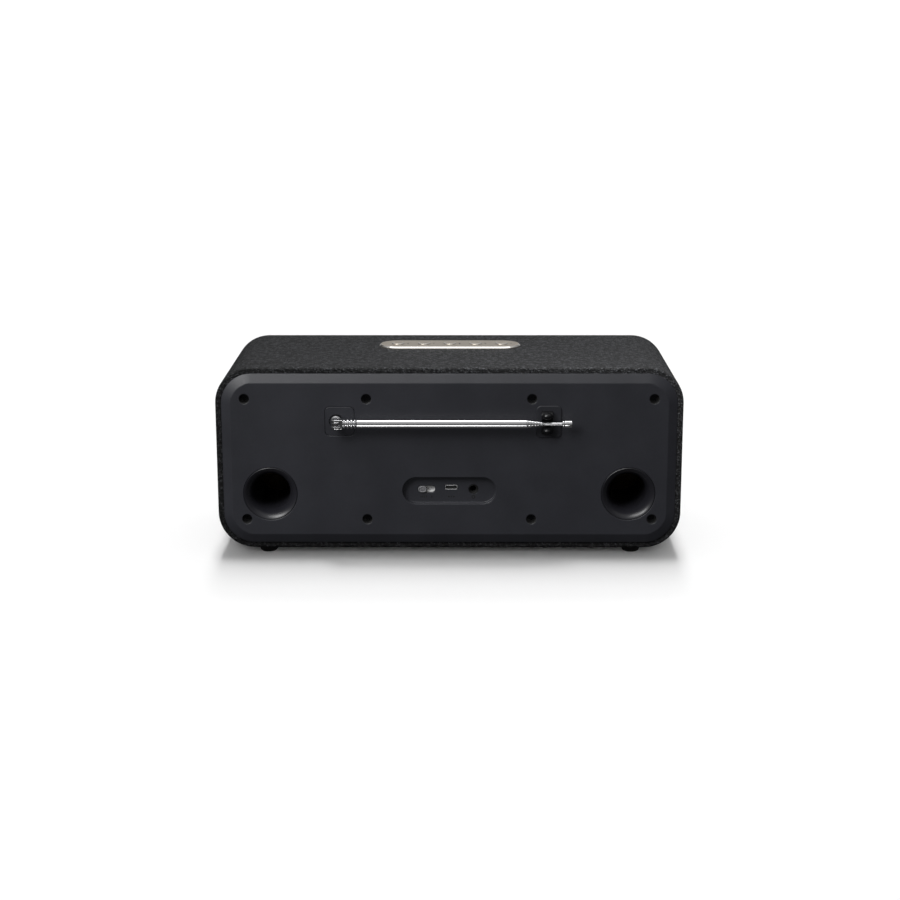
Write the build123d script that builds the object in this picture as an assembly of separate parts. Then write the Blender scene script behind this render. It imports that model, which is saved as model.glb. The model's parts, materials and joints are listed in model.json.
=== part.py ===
from build123d import *
import math
import os

# Mini hi-fi: a wooden cabinet wrapped in leatherette, two speakers and a display at the front,
# a telescopic aerial, two reflex ports and a socket recess at the back, a button strip on top.
# Millimetres. +Z is up, the front faces -Y, and Z = 0 is the surface that the feet stand on.

# ---------------------------------------------------------------- driving dimensions
cabinet_width = 300.0
cabinet_height = 119.5
cabinet_depth = 120.0
cabinet_corner = 23.5
sleeve_wall = 9.0
wrap_thickness = 0.8
clearance = 0.15
running_fit = 0.05

foot_height = 7.0
foot_top_r = 7.6
foot_base_r = 5.2
foot_side_inset = 30.4
foot_depth_inset = 18.5
foot_screw_r = 1.5
foot_screw_head_r = 2.9
foot_screw_head_height = 1.8
foot_screw_length = 10.0

# Rear panel: a proud plate with a wide sloping edge
rear_rim = 3.9
rear_proud = 2.8
rear_edge = 0.5
rear_slope = 5.9
spigot_depth = 2.0
spigot_wall = 3.0
screw_row_inset = 20.0
screw_column_inset = 19.0
screw_inner_x = 53.0
screw_well_r = 3.15
screw_well_wall = 1.05
screw_well_depth = 10.8
screw_floor = 2.0
screw_r = 1.5
screw_head_r = 2.8
screw_head_height = 2.0
screw_length = 14.0
boss_r = 4.2
boss_length = 14.0
frame_wall = 4.5
frame_depth = 12.0

# Reflex ports
port_lip_r = 17.35
port_side_inset = port_lip_r + 17.15
port_height = port_lip_r + 19.55
port_throat_r = 12.0
port_wall = 2.0
port_flare_depth = 9.0
port_length = 56.0
port_flange_overlap = 0.65
port_flange_thickness = 1.5

# Socket recess
recess_width = 60.3
recess_height = 17.6
recess_z = 39.1
recess_depth = 4.0
recess_wall = 1.8
switch_x = 14.8
switch_slot_width = 11.2
switch_slot_height = 4.5
switch_knob_width = 5.4
switch_travel = 5.2
usb_x = -1.3
usb_rise = 1.4
usb_width = 8.0
usb_height = 2.9
usb_wall = 0.35
jack_x = -15.6
jack_bore_r = 1.8
jack_nose_r = 3.0
usb_depth = 6.0
jack_body = 8.0
jack_depth = 12.0
switch_can_height = 7.0
switch_can_depth = 5.0
io_board_width = 54.0
io_board_depth = 17.0
io_board_thickness = 1.6
shelf_thickness = 2.0
shelf_width = 5.0

# Aerial
aerial_pivot_x = 72.3
aerial_height = 84.85
aerial_standoff = 7.5
aerial_tube_r = 2.85
aerial_tube_wall = 0.25
aerial_collar_r = 3.1
aerial_groove = 0.45
aerial_spigot = 4.0
aerial_collar_start = 4.6
aerial_collar_end = 13.7
aerial_tube_end = 122.7
aerial_step = 1.92
aerial_stages = 5
aerial_stage_length = 104.0
aerial_rod_out = 11.8
aerial_rod_length = 112.0
aerial_cap_r = 2.4
aerial_cap_length = 6.5
seat_size = 18.9
seat_corner = 3.0
seat_shift = 2.2
seat_thickness = 2.0
hole_r = 4.6
knuckle_r = 3.95
knuckle_rise = 2.2
tongue_thickness = 2.3
tongue_r = 2.9
cheek_thickness = 1.9
cheek_gap = 0.05
hinge_pin_r = 1.0
shank_r = 3.0
bush_r = 6.5
bush_length = 7.0
retainer_thickness = 1.2
clip_x = -63.7
clip_plate_width = 16.0
clip_plate_height = 20.8
clip_plate_thickness = 1.2
clip_jaw_x = -62.4
clip_jaw_width = 7.1
clip_jaw_height = 14.6
clip_bore_r = 2.9
clip_mouth = 4.4
clip_lip = 2.0

# Button strip on top
strip_width = 95.4
strip_depth = 26.0
strip_from_rear = 78.0
strip_thickness = 1.4
strip_bevel = 0.9
strip_ledge = 3.2
skirt_wall = 1.6
skirt_depth = 12.0
strip_plate = 1.6
button_count = 5
button_pitch = 17.5
button_r = 4.2
button_proud = 0.45
button_dish = 0.5
button_travel = 0.6
button_flange = 0.6
button_stem_r = 1.6
button_gap = 0.1
keypad_thickness = 1.6
tact_size = 6.0
tact_height = 3.4
tact_plunger_r = 1.75
tact_plunger_height = 0.9

# Front
grille_recess = 1.0
grille_thickness = 3.0
trim_ring_width = 1.8
trim_ring_proud = 0.6
slot_height = 2.9
slot_pitch = 6.0
slot_count = 14
slot_length = 78.0
baffle_thickness = 8.0
baffle_gap = 7.0
fascia_width = 96.0
fascia_height = 34.0
fascia_z = 81.0
fascia_thickness = 1.6
fascia_border = 7.0
fascia_wall = 1.5
window_ledge = 1.0
window_thickness = 1.8
display_depth = 3.5
knob_z = 37.0
knob_r = 15.0
knob_length = 12.4
knob_gap = 0.6
shaft_r = 3.0
encoder_bush_wall = 0.9
encoder_size = 12.0
encoder_depth = 6.5

# Speakers
driver_side_inset = 55.0
driver_flange_margin = 12.6
driver_flange_thickness = 1.5
driver_opening_margin = 6.0
driver_depth = 19.0
driver_back_r = 17.0
basket_wall = 1.0
plate_r = 16.0
plate_thickness = 3.0
magnet_r = 19.0
magnet_thickness = 8.0
yoke_r = 17.0
pole_r = 5.9
coil_r = 6.8
coil_wall = 0.4
coil_gap = 0.6
coil_length = 15.0
cone_r = 21.0
cone_wall = 0.5
cone_depth = 10.0
dust_cap_r = 9.0
surround_roll_r = 2.6
surround_wall = 0.4
surround_foot = 0.9
spider_wall = 0.4
spider_gap = 0.3
driver_screw_margin = 9.6

# Inside
divider_x = 60.0
divider_thickness = 6.0
cell_r = 9.1
cell_length = 65.0
tray_wall = 1.6
board_width = 104.0
board_height = 50.0
board_thickness = 1.6
board_gap = 8.0

# ---------------------------------------------------------------- derived places
bottom = foot_height
top = foot_height + cabinet_height
middle = foot_height + cabinet_height / 2
front = -cabinet_depth / 2
rear = cabinet_depth / 2
panel_face = rear + rear_proud
lining = wrap_thickness + sleeve_wall
inner_width = cabinet_width - 2 * lining
inner_height = cabinet_height - 2 * lining
inner_corner = cabinet_corner - lining
inner_bottom = bottom + lining
inner_top = top - lining
screw_xs = [cabinet_width / 2 - screw_column_inset, screw_inner_x]
screw_zs = [bottom + screw_row_inset, top - screw_row_inset]
well_floor = panel_face - screw_well_depth
boss_face = well_floor - screw_floor
port_x = cabinet_width / 2 - port_side_inset
port_z = bottom + port_height
recess_centre = bottom + recess_z
recess_floor = panel_face - recess_depth
socket_back = recess_floor - recess_wall
io_board_top = recess_centre - jack_body / 2
aerial_z = bottom + aerial_height
aerial_y = panel_face + aerial_standoff
strip_y = rear - strip_from_rear
grille_face = front + grille_recess
grille_back = grille_face + grille_thickness
baffle_face = grille_back + baffle_gap
baffle_back = baffle_face + baffle_thickness
driver_x = cabinet_width / 2 - driver_side_inset
driver_flange_r = cone_r + driver_flange_margin
driver_opening_r = cone_r + driver_opening_margin
driver_screw_circle = cone_r + driver_screw_margin
driver_front = baffle_face - driver_flange_thickness
basket_back = baffle_face + driver_depth
fascia_centre = bottom + fascia_z
knob_centre = bottom + knob_z
foot_xs = [-cabinet_width / 2 + foot_side_inset, cabinet_width / 2 - foot_side_inset]
foot_ys = [front + foot_depth_inset, rear - foot_depth_inset]


# ---------------------------------------------------------------- shape helpers
def slab(sketch, y_low, y_high):
    """A sketch drawn in X and Z, made solid from y_low to y_high."""
    return extrude(Plane.XZ.offset(-y_low) * sketch, amount=-(y_high - y_low))


def sheet(sketch, z_low, z_high):
    """A sketch drawn in X and Y, made solid from z_low to z_high."""
    return extrude(Plane.XY.offset(z_low) * sketch, amount=z_high - z_low)


def rounded(width, height, corner, x=0.0, z=0.0):
    """A rounded rectangle about x, z."""
    return Pos(x, z) * RectangleRounded(width, height, corner)


def pill(width, height, x=0.0, z=0.0):
    """A slot shape with round ends about x, z."""
    return Pos(x, z) * SlotOverall(width, height)


def along_y(radius, y_low, y_high, x, z):
    """A round bar along Y."""
    return slab(Pos(x, z) * Circle(radius), y_low, y_high)


def along_z(radius, z_low, z_high, x, y):
    """A round bar along Z."""
    return sheet(Pos(x, y) * Circle(radius), z_low, z_high)


def along_x(radius, x_low, x_high, y, z):
    """A round bar along X."""
    disc = Pos(y, z) * Circle(radius)
    return extrude(Plane.YZ.offset(x_low) * disc, amount=x_high - x_low)


def block(x_low, x_high, y_low, y_high, z_low, z_high):
    """A box between two corners."""
    size = (x_high - x_low, y_high - y_low, z_high - z_low)
    centre = Pos((x_low + x_high) / 2, (y_low + y_high) / 2, (z_low + z_high) / 2)
    return centre * Box(*size)


def turned(points, x, z):
    """A closed outline of (radius, y) points, turned about a line along Y at x, z."""
    outline = make_face(Polyline(*points, close=True))
    return Pos(x, 0, z) * revolve(outline, axis=Axis.Y)


def screw(head_y, x, z, inward):
    """A pan head screw along Y. Its head's underside is at head_y and it points along inward."""
    head_end = head_y - inward * screw_head_height
    head = along_y(screw_head_r, min(head_y, head_end), max(head_y, head_end), x, z)
    tip = head_y + inward * screw_length
    shank = along_y(screw_r, min(head_y, tip), max(head_y, tip), x, z)
    slot = along_y(1.2, min(head_end, head_end + inward), max(head_end, head_end + inward), x, z)
    return head + shank - slot


# ---------------------------------------------------------------- cabinet
def strip_opening(margin=0.0):
    """The opening that the button strip's skirt passes through."""
    width = strip_width - 2 * strip_ledge + 2 * margin
    depth = strip_depth - 2 * strip_ledge + 2 * margin
    return Pos(0, strip_y) * SlotOverall(width, depth)


def foot_holes(radius, z_low, z_high):
    """Bars at the four feet, for their screws."""
    return [along_z(radius, z_low, z_high, x, y) for x in foot_xs for y in foot_ys]


def make_cabinet_sleeve():
    """The wooden tube that everything is fixed in."""
    width = cabinet_width - 2 * wrap_thickness
    height = cabinet_height - 2 * wrap_thickness
    corner = cabinet_corner - wrap_thickness
    ends = wrap_thickness
    outer = slab(rounded(width, height, corner, z=middle), front + ends, rear - ends)
    inner = slab(rounded(inner_width, inner_height, inner_corner, z=middle), front, rear)
    body = outer - inner
    body -= sheet(strip_opening(clearance), inner_top - 1, top)
    for hole in foot_holes(foot_screw_r, bottom - 1, inner_bottom + 1):
        body -= hole
    return body


def make_leatherette_wrap():
    """The skin glued round the sleeve and turned over both of its ends."""
    skin = slab(rounded(cabinet_width, cabinet_height, cabinet_corner, z=middle), front, rear)
    skin = fillet(skin.faces().filter_by(Axis.Y).edges(), 0.5)
    skin -= slab(rounded(inner_width, inner_height, inner_corner, z=middle), front, rear)
    width = cabinet_width - 2 * wrap_thickness
    height = cabinet_height - 2 * wrap_thickness
    corner = cabinet_corner - wrap_thickness
    core = rounded(width, height, corner, z=middle)
    skin -= slab(core, front + wrap_thickness, rear - wrap_thickness)
    skin -= sheet(strip_opening(clearance), inner_top - 1, top + 1)
    for hole in foot_holes(foot_screw_r, bottom - 1, inner_bottom + 1):
        skin -= hole
    return skin


def make_feet():
    """Four rubber feet, each a tapered plug with a rounded base and a well for its screw."""
    feet = []
    for x in foot_xs:
        for y in foot_ys:
            foot = Pos(x, y, foot_height / 2) * Cone(foot_base_r, foot_top_r, foot_height)
            foot = fillet(foot.edges().sort_by(Axis.Z)[0], 1.2)
            foot -= along_z(foot_screw_r, 0, foot_height, x, y)
            foot -= along_z(foot_screw_head_r + clearance, 0, foot_height / 2, x, y)
            feet.append(foot)
    return feet


def make_foot_screws():
    """One wood screw up through each foot."""
    screws = []
    for x in foot_xs:
        for y in foot_ys:
            head_top = foot_height / 2
            head = along_z(foot_screw_head_r, head_top - foot_screw_head_height, head_top, x, y)
            shank = along_z(foot_screw_r, head_top, head_top + foot_screw_length, x, y)
            screws.append(head + shank)
    return screws


def make_divider_walls():
    """The two walls that close off a chamber for each speaker."""
    walls = []
    for side in (-1, 1):
        low = divider_x if side > 0 else -divider_x - divider_thickness
        y_high = boss_face - boss_length - 1
        wall = block(low, low + divider_thickness, baffle_back, y_high, inner_bottom, inner_top)
        wall -= along_x(3.0, low - 1, low + divider_thickness + 1, 0, inner_bottom + 10)
        walls.append(wall)
    return walls


# ---------------------------------------------------------------- rear
def make_rear_panel():
    """The moulded back: sloping edge, screw wells, port and aerial holes and socket recess."""
    width = cabinet_width - 2 * rear_rim
    height = cabinet_height - 2 * rear_rim
    corner = cabinet_corner - rear_rim
    panel = slab(rounded(width, height, corner, z=middle), rear, rear + rear_edge)
    foot = rounded(width, height, corner, z=middle)
    crown = rounded(width - 2 * rear_slope, height - 2 * rear_slope, corner - rear_slope, z=middle)
    low_face = Plane.XZ.offset(-(rear + rear_edge)) * foot
    high_face = Plane.XZ.offset(-panel_face) * crown
    panel += loft([low_face, high_face])

    spigot_size = (inner_width - 2 * clearance, inner_height - 2 * clearance)
    spigot = slab(rounded(*spigot_size, inner_corner - clearance, z=middle), rear - spigot_depth, rear)
    hollow_size = (spigot_size[0] - 2 * spigot_wall, spigot_size[1] - 2 * spigot_wall)
    hollow = rounded(*hollow_size, inner_corner - clearance - spigot_wall, z=middle)
    panel += spigot - slab(hollow, rear - spigot_depth, rear)

    for x in [side * x for x in screw_xs for side in (-1, 1)]:
        for z in screw_zs:
            panel += along_y(screw_well_r + screw_well_wall, boss_face, rear, x, z)
            panel -= along_y(screw_well_r, well_floor, panel_face, x, z)
            panel -= along_y(screw_r + clearance, boss_face, well_floor, x, z)

    cup_width = recess_width + 2 * recess_wall
    cup_height = recess_height + 2 * recess_wall
    panel += slab(pill(cup_width, cup_height, z=recess_centre), socket_back, rear)
    panel -= slab(pill(recess_width, recess_height, z=recess_centre), recess_floor, panel_face)
    floor_span = (socket_back, recess_floor)
    panel -= slab(switch_slot(), *floor_span)
    panel -= slab(usb_outline(clearance), *floor_span)
    panel -= along_y(jack_nose_r + clearance, *floor_span, jack_x, recess_centre)
    shelf_top = io_board_top - io_board_thickness
    for side in (-1, 1):
        edge = side * io_board_width / 2
        x_low, x_high = sorted((edge, edge - side * shelf_width))
        shelf_span = (socket_back - io_board_depth, socket_back)
        panel += block(x_low, x_high, *shelf_span, shelf_top - shelf_thickness, shelf_top)

    for x in (-port_x, port_x):
        panel -= along_y(port_lip_r + clearance, rear - spigot_depth - 1, panel_face, x, port_z)
    seat = rounded(seat_size, seat_size, seat_corner, aerial_pivot_x - seat_shift, aerial_z)
    panel -= slab(seat, panel_face - seat_thickness, panel_face)
    panel -= along_y(shank_r + 1, rear - 1, panel_face, aerial_pivot_x, aerial_z)
    return panel


def switch_slot():
    """The slot that the power switch's knob moves in."""
    return rounded(switch_slot_width, switch_slot_height, 0.6, switch_x, recess_centre)


def usb_outline(margin=0.0):
    """The outline of the USB shell, grown by margin."""
    width = usb_width + 2 * margin
    height = usb_height + 2 * margin
    return rounded(width, height, 0.9 + margin, usb_x, recess_centre + usb_rise)


def make_rear_frame():
    """A ring glued inside the sleeve, with a boss for each rear screw."""
    ring_size = (inner_width - 2 * clearance, inner_height - 2 * clearance)
    corner = inner_corner - clearance
    hollow_size = (ring_size[0] - 2 * frame_wall, ring_size[1] - 2 * frame_wall)
    y_low = boss_face - boss_length
    y_high = y_low + frame_depth
    frame = slab(rounded(*ring_size, corner, z=middle), y_low, y_high)
    frame -= slab(rounded(*hollow_size, corner - frame_wall, z=middle), y_low, y_high)
    for x in [side * x for x in screw_xs for side in (-1, 1)]:
        for z in screw_zs:
            edge = inner_bottom + frame_wall / 2 if z < middle else inner_top - frame_wall / 2
            rib = block(x - 1.5, x + 1.5, y_low, y_high, min(z, edge), max(z, edge))
            frame += along_y(boss_r, y_low, boss_face, x, z) + rib
            frame -= along_y(screw_r, y_low, boss_face, x, z)
    return frame


def make_rear_screws():
    """The eight screws at the bottom of the wells."""
    sites = [(side * x, z) for x in screw_xs for side in (-1, 1) for z in screw_zs]
    return [screw(well_floor, x, z, -1) for x, z in sites]


def make_reflex_port(x):
    """A flared tube that is glued behind the rear panel."""
    start = panel_face
    end = panel_face - port_length
    bend = start - port_flare_depth
    mouth_r = port_lip_r - 1.2
    flange_r = port_lip_r + port_flange_overlap
    flange_low = rear - port_flange_thickness
    steps = 8
    inner = []
    for i in range(steps + 1):
        turn = math.pi / 2 * i / steps
        radius = port_throat_r + (mouth_r - port_throat_r) * (1 - math.sin(turn))
        inner.append((radius, bend + port_flare_depth * math.cos(turn)))
    throat = port_throat_r + port_wall
    tail = [(port_throat_r, end), (throat, end), (throat, bend - 2)]
    shoulder = [(port_lip_r, flange_low), (flange_r, flange_low), (flange_r, rear)]
    lip = [(port_lip_r, rear), (port_lip_r, start)]
    return turned(inner + tail + shoulder + lip, x, port_z)


# ---------------------------------------------------------------- sockets
def make_io_board():
    """The board that the sockets stand on, on shelves behind the recess."""
    half = io_board_width / 2
    y_low = socket_back - io_board_depth
    return block(-half, half, y_low, socket_back, io_board_top - io_board_thickness, io_board_top)


def make_usb_socket():
    """A steel shell round a contact tongue, on a riser."""
    mouth = recess_floor + 0.4
    z = recess_centre + usb_rise
    back = mouth - usb_depth
    shell = slab(usb_outline(), back, mouth)
    shell -= slab(usb_outline(-usb_wall), back + 1, mouth)
    tongue = block(usb_x - 1.9, usb_x + 1.9, back + 1, mouth - 0.8, z - 0.3, z + 0.3)
    riser = block(usb_x - 3, usb_x + 3, back, socket_back, io_board_top, z - usb_height / 2)
    return shell + tongue + riser


def make_audio_jack():
    """A round nose on a square body, bored for a 3.5 mm plug."""
    nose = recess_floor + 0.3
    body = rounded(jack_body, jack_body, 0.5, jack_x, recess_centre)
    jack = slab(body, socket_back - jack_depth, socket_back)
    jack += along_y(jack_nose_r, socket_back, nose, jack_x, recess_centre)
    return jack - along_y(jack_bore_r, socket_back - jack_depth + 1, nose, jack_x, recess_centre)


def make_power_switch():
    """The can that carries the sliding knob."""
    y_low = socket_back - switch_can_depth
    half = switch_slot_width / 2 + 1.4
    z_high = io_board_top + switch_can_height
    can = block(switch_x - half, switch_x + half, y_low, socket_back, io_board_top, z_high)
    slot = rounded(switch_slot_width, 2.4, 0.4, switch_x, recess_centre)
    return can - slab(slot, socket_back - 3, socket_back)


def make_power_switch_knob():
    """A ribbed knob at the end of its slot."""
    x = switch_x + switch_travel / 2
    height = switch_slot_height - 2 * 0.3
    high = recess_floor + 1.2
    low = socket_back + 0.1
    knob = slab(rounded(switch_knob_width, height, 0.5, x, recess_centre), low, high)
    stem = slab(Pos(x, recess_centre) * Rectangle(3.0, 1.8), socket_back - 2.6, low)
    for i in range(4):
        rib_x = x + (i - 1.5) * 1.2
        knob -= block(rib_x - 0.25, rib_x + 0.25, high - 0.4, high, recess_centre - 1.7, recess_centre + 1.7)
    return knob + stem


# ---------------------------------------------------------------- aerial
def make_antenna_seat():
    """The square insert round the aerial's hole."""
    seat_x = aerial_pivot_x - seat_shift
    size = seat_size - 2 * clearance
    low = panel_face - seat_thickness
    seat = slab(rounded(size, size, seat_corner - clearance, seat_x, aerial_z), low, panel_face)
    return seat - along_y(hole_r, low, panel_face, aerial_pivot_x, aerial_z)


def make_antenna_bush():
    """The bearing behind the panel that the aerial's base turns in."""
    bush = along_y(bush_r, rear - bush_length, rear, aerial_pivot_x, aerial_z)
    bore = shank_r + running_fit
    return bush - along_y(bore, rear - bush_length, rear, aerial_pivot_x, aerial_z)


def make_antenna_base():
    """The turning base: a shank, a round head, and a tongue for the hinge pin."""
    x, z = aerial_pivot_x, aerial_z
    seat_level = panel_face - seat_thickness + clearance
    head_top = panel_face + knuckle_rise
    base = along_y(knuckle_r, seat_level, head_top, x, z)
    base = fillet(base.edges().sort_by(Axis.Y)[-1], 0.8)
    base += along_y(shank_r, rear - bush_length - retainer_thickness, seat_level, x, z)
    collar = rear - bush_length - clearance
    base += along_y(shank_r + 1.5, collar - retainer_thickness, collar, x, z)
    tongue = Pos(x, aerial_y) * Circle(tongue_r)
    tongue += Pos(x, (head_top + aerial_y) / 2 - 0.5) * Rectangle(2 * tongue_r, aerial_y - head_top + 1)
    base += sheet(tongue, z - tongue_thickness / 2, z + tongue_thickness / 2)
    return base - along_z(hinge_pin_r + running_fit, z - 5, z + 5, x, aerial_y)


def make_antenna_elbow():
    """The fork that straddles the tongue, and the collar that the tube is crimped in."""
    x, y, z = aerial_pivot_x, aerial_y, aerial_z
    inside = tongue_thickness / 2 + cheek_gap
    outside = inside + cheek_thickness
    root = x - tongue_r - 0.6
    collar = x - aerial_collar_start
    cheek = Pos(x, y) * Circle(tongue_r) + Pos((x + root) / 2, y) * Rectangle(x - root, 2 * tongue_r)
    elbow = sheet(cheek, z - outside, z - inside) + sheet(cheek, z + inside, z + outside)
    elbow += block(collar, root, y - tongue_r, y + tongue_r, z - outside, z + outside)
    elbow += along_x(aerial_collar_r, x - aerial_collar_end, collar, y, z)
    for share in (0.35, 0.6, 0.85):
        groove = collar - share * (aerial_collar_end - aerial_collar_start)
        ring = along_x(aerial_collar_r + 1, groove - 0.3, groove + 0.3, y, z)
        core = along_x(aerial_collar_r - aerial_groove, groove - 0.3, groove + 0.3, y, z)
        elbow -= ring - core
    tube_start = x - aerial_collar_end
    spigot_r = aerial_tube_r - aerial_tube_wall - running_fit
    elbow += along_x(spigot_r, tube_start - aerial_spigot, tube_start, y, z)
    return elbow - along_z(hinge_pin_r, z - outside, z + outside, x, y)


def make_antenna_pin():
    """The rivet pressed through the fork."""
    half = tongue_thickness / 2 + cheek_gap + cheek_thickness
    return along_z(hinge_pin_r, aerial_z - half, aerial_z + half, aerial_pivot_x, aerial_y)


def aerial_stage_r(number):
    """The outer radius of a telescopic stage, where 0 is the outermost tube."""
    return aerial_tube_r - number * (aerial_tube_wall + running_fit)


def aerial_stage_end(number):
    """How far from the hinge a telescopic stage's outer end lies when it is pushed in."""
    return aerial_tube_end + number * aerial_step


def make_antenna_tube():
    """The outermost tube, crimped on the elbow's spigot."""
    start = aerial_pivot_x - aerial_collar_end
    end = aerial_pivot_x - aerial_tube_end
    tube = along_x(aerial_tube_r, end, start, aerial_y, aerial_z)
    return tube - along_x(aerial_tube_r - aerial_tube_wall, end, start, aerial_y, aerial_z)


def make_antenna_stage(number):
    """One sliding tube of the aerial."""
    end = aerial_pivot_x - aerial_stage_end(number)
    start = end + aerial_stage_length
    radius = aerial_stage_r(number)
    tube = along_x(radius, end, start, aerial_y, aerial_z)
    return tube - along_x(radius - aerial_tube_wall, end, start, aerial_y, aerial_z)


def make_antenna_rod():
    """The innermost stage, a plain rod, a little pulled out."""
    end = aerial_pivot_x - aerial_stage_end(aerial_stages) - aerial_rod_out
    radius = aerial_stage_r(aerial_stages + 1)
    return along_x(radius, end, end + aerial_rod_length, aerial_y, aerial_z)


def make_antenna_cap():
    """The grip on the end of the rod."""
    end = aerial_pivot_x - aerial_stage_end(aerial_stages) - aerial_rod_out
    cap = along_x(aerial_cap_r, end - aerial_cap_length, end, aerial_y, aerial_z)
    return chamfer(cap.edges(), 0.4)


def make_antenna_clip():
    """A plate with a grooved block that holds the folded aerial."""
    plate_high = panel_face + clip_plate_thickness
    plate = rounded(clip_plate_width, clip_plate_height, 3.0, clip_x, aerial_z)
    clip = slab(plate, panel_face, plate_high)
    crest = aerial_y + clip_lip
    half = clip_jaw_height / 2
    outline = Pos((panel_face + crest) / 2, aerial_z) * Rectangle(crest - panel_face, 2 * half)
    outline = fillet(outline.vertices().sort_by(Axis.X)[-2:], 3.6)
    outline -= Pos(aerial_y, aerial_z) * Circle(clip_bore_r)
    outline -= Pos(aerial_y + clip_lip, aerial_z) * Rectangle(2 * clip_lip, clip_mouth)
    jaw_low = clip_jaw_x - clip_jaw_width / 2
    return clip + extrude(Plane.YZ.offset(jaw_low) * outline, amount=clip_jaw_width)


# ---------------------------------------------------------------- button strip
def button_xs():
    """Where the buttons stand along the strip."""
    return [(i - (button_count - 1) / 2) * button_pitch for i in range(button_count)]


def make_top_panel():
    """The metal strip, with a skirt down through the cabinet's top."""
    face = top + strip_thickness
    panel = sheet(Pos(0, strip_y) * SlotOverall(strip_width, strip_depth), top, face)
    panel = chamfer(panel.faces().sort_by(Axis.Z)[-1].edges(), strip_bevel)
    skirt = sheet(strip_opening(), face - strip_plate - skirt_depth, top)
    inner = Pos(0, strip_y) * SlotOverall(
        strip_width - 2 * (strip_ledge + skirt_wall), strip_depth - 2 * (strip_ledge + skirt_wall)
    )
    panel += skirt - sheet(inner, face - strip_plate - skirt_depth, face - strip_plate)
    for x in button_xs():
        panel -= along_z(button_r + button_gap, face - strip_plate - 1, face, x, strip_y)
    return panel


def make_button(x):
    """A dished round button with a flange that keeps it in the strip."""
    face = top + strip_thickness
    under = face - strip_plate - clearance
    button = along_z(button_r, under, face + button_proud, x, strip_y)
    button = fillet(button.edges().sort_by(Axis.Z)[-1], 0.35)
    dish_r = (3.4**2 + button_dish**2) / (2 * button_dish)
    button -= Pos(x, strip_y, face + button_proud - button_dish + dish_r) * Sphere(dish_r)
    button += along_z(button_r + button_flange, under - 1, under, x, strip_y)
    stem_end = keypad_top() + tact_height + tact_plunger_height + button_travel + clearance
    return button + along_z(button_stem_r, stem_end, under - 1, x, strip_y)


def keypad_top():
    """The level of the button board's upper side."""
    return top + strip_thickness - strip_plate - skirt_depth


def make_keypad_board():
    """The board that closes the skirt from below."""
    outline = strip_opening(-clearance)
    return sheet(outline, keypad_top() - keypad_thickness, keypad_top())


def make_tact_switches():
    """A push switch under each button."""
    switches = []
    for x in button_xs():
        low = keypad_top()
        half = tact_size / 2
        body = block(x - half, x + half, strip_y - half, strip_y + half, low, low + tact_height)
        plunger_top = low + tact_height + tact_plunger_height
        switches.append(body + along_z(tact_plunger_r, low + tact_height, plunger_top, x, strip_y))
    return switches


# ---------------------------------------------------------------- front
def make_front_baffle():
    """The wooden board that carries the speakers, the display and the knob."""
    size = (inner_width - 2 * clearance, inner_height - 2 * clearance)
    board = slab(rounded(*size, inner_corner - clearance, z=middle), baffle_face, baffle_back)
    for x in (-driver_x, driver_x):
        board -= along_y(driver_opening_r + 1.2, baffle_face, baffle_back, x, middle)
        for px, pz in driver_screw_sites(x):
            board -= along_y(screw_r, baffle_face, baffle_back, px, pz)
    cable = pill(fascia_width - 60, 8.0, 0, fascia_centre)
    board -= slab(cable, baffle_face, baffle_back)
    bush = shaft_r + running_fit + encoder_bush_wall + clearance
    return board - along_y(bush, baffle_face, baffle_back, 0, knob_centre)


def make_front_grille():
    """The slotted front moulding, on pegs against the baffle."""
    margin = trim_ring_width + clearance
    size = (inner_width - 2 * margin, inner_height - 2 * margin)
    grille = slab(rounded(*size, inner_corner - margin, z=middle), grille_face, grille_back)
    for x in (-driver_x, driver_x):
        for i in range(slot_count):
            z = middle + (i - (slot_count - 1) / 2) * slot_pitch
            grille -= slab(pill(slot_length, slot_height, x, z), grille_face, grille_back)
    opening = pill(fascia_width - 4, fascia_height - 4, 0, fascia_centre)
    grille -= slab(opening, grille_face, grille_back)
    grille -= along_y(shaft_r + 2, grille_face, grille_back, 0, knob_centre)
    for x in (-inner_width / 2 + 5.5, -43.0, 43.0, inner_width / 2 - 5.5):
        for z in (middle - 30, middle + 30):
            if abs(x) > divider_x or z < middle:
                grille += along_y(2.5, grille_back, baffle_face, x, z)
    return grille


def make_front_trim_ring():
    """The bright ring between the grille and the cabinet's front rim."""
    size = (inner_width - 2 * clearance, inner_height - 2 * clearance)
    hollow = (size[0] - 2 * trim_ring_width + clearance, size[1] - 2 * trim_ring_width + clearance)
    corner = inner_corner - clearance
    face = grille_face - trim_ring_proud
    ring = slab(rounded(*size, corner, z=middle), face, grille_back)
    return ring - slab(rounded(*hollow, corner - trim_ring_width, z=middle), face, grille_back)


def make_display_fascia():
    """The metal surround of the display, with a spigot through the grille."""
    face = grille_face - fascia_thickness
    fascia = slab(pill(fascia_width, fascia_height, 0, fascia_centre), face, grille_face)
    fascia = chamfer(fascia.faces().sort_by(Axis.Y)[0].edges(), 0.7)
    width = fascia_width - 4 - 2 * clearance
    height = fascia_height - 4 - 2 * clearance
    spigot = slab(pill(width, height, 0, fascia_centre), grille_face, baffle_face - display_depth)
    fascia += spigot
    window = fascia_window()
    fascia -= slab(pill(*window, 0, fascia_centre), face, face + window_thickness)
    ledge = (window[0] - 2 * window_ledge, window[1] - 2 * window_ledge)
    return fascia - slab(pill(*ledge, 0, fascia_centre), face, baffle_face)


def fascia_window():
    """The width and height of the display's window."""
    return (fascia_width - 2 * fascia_border, fascia_height - 2 * fascia_border)


def make_display_window():
    """The smoked window, set in the fascia."""
    face = grille_face - fascia_thickness
    width, height = fascia_window()
    outline = pill(width - 2 * clearance, height - 2 * clearance, 0, fascia_centre)
    return slab(outline, face + 0.2, face + window_thickness)


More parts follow.
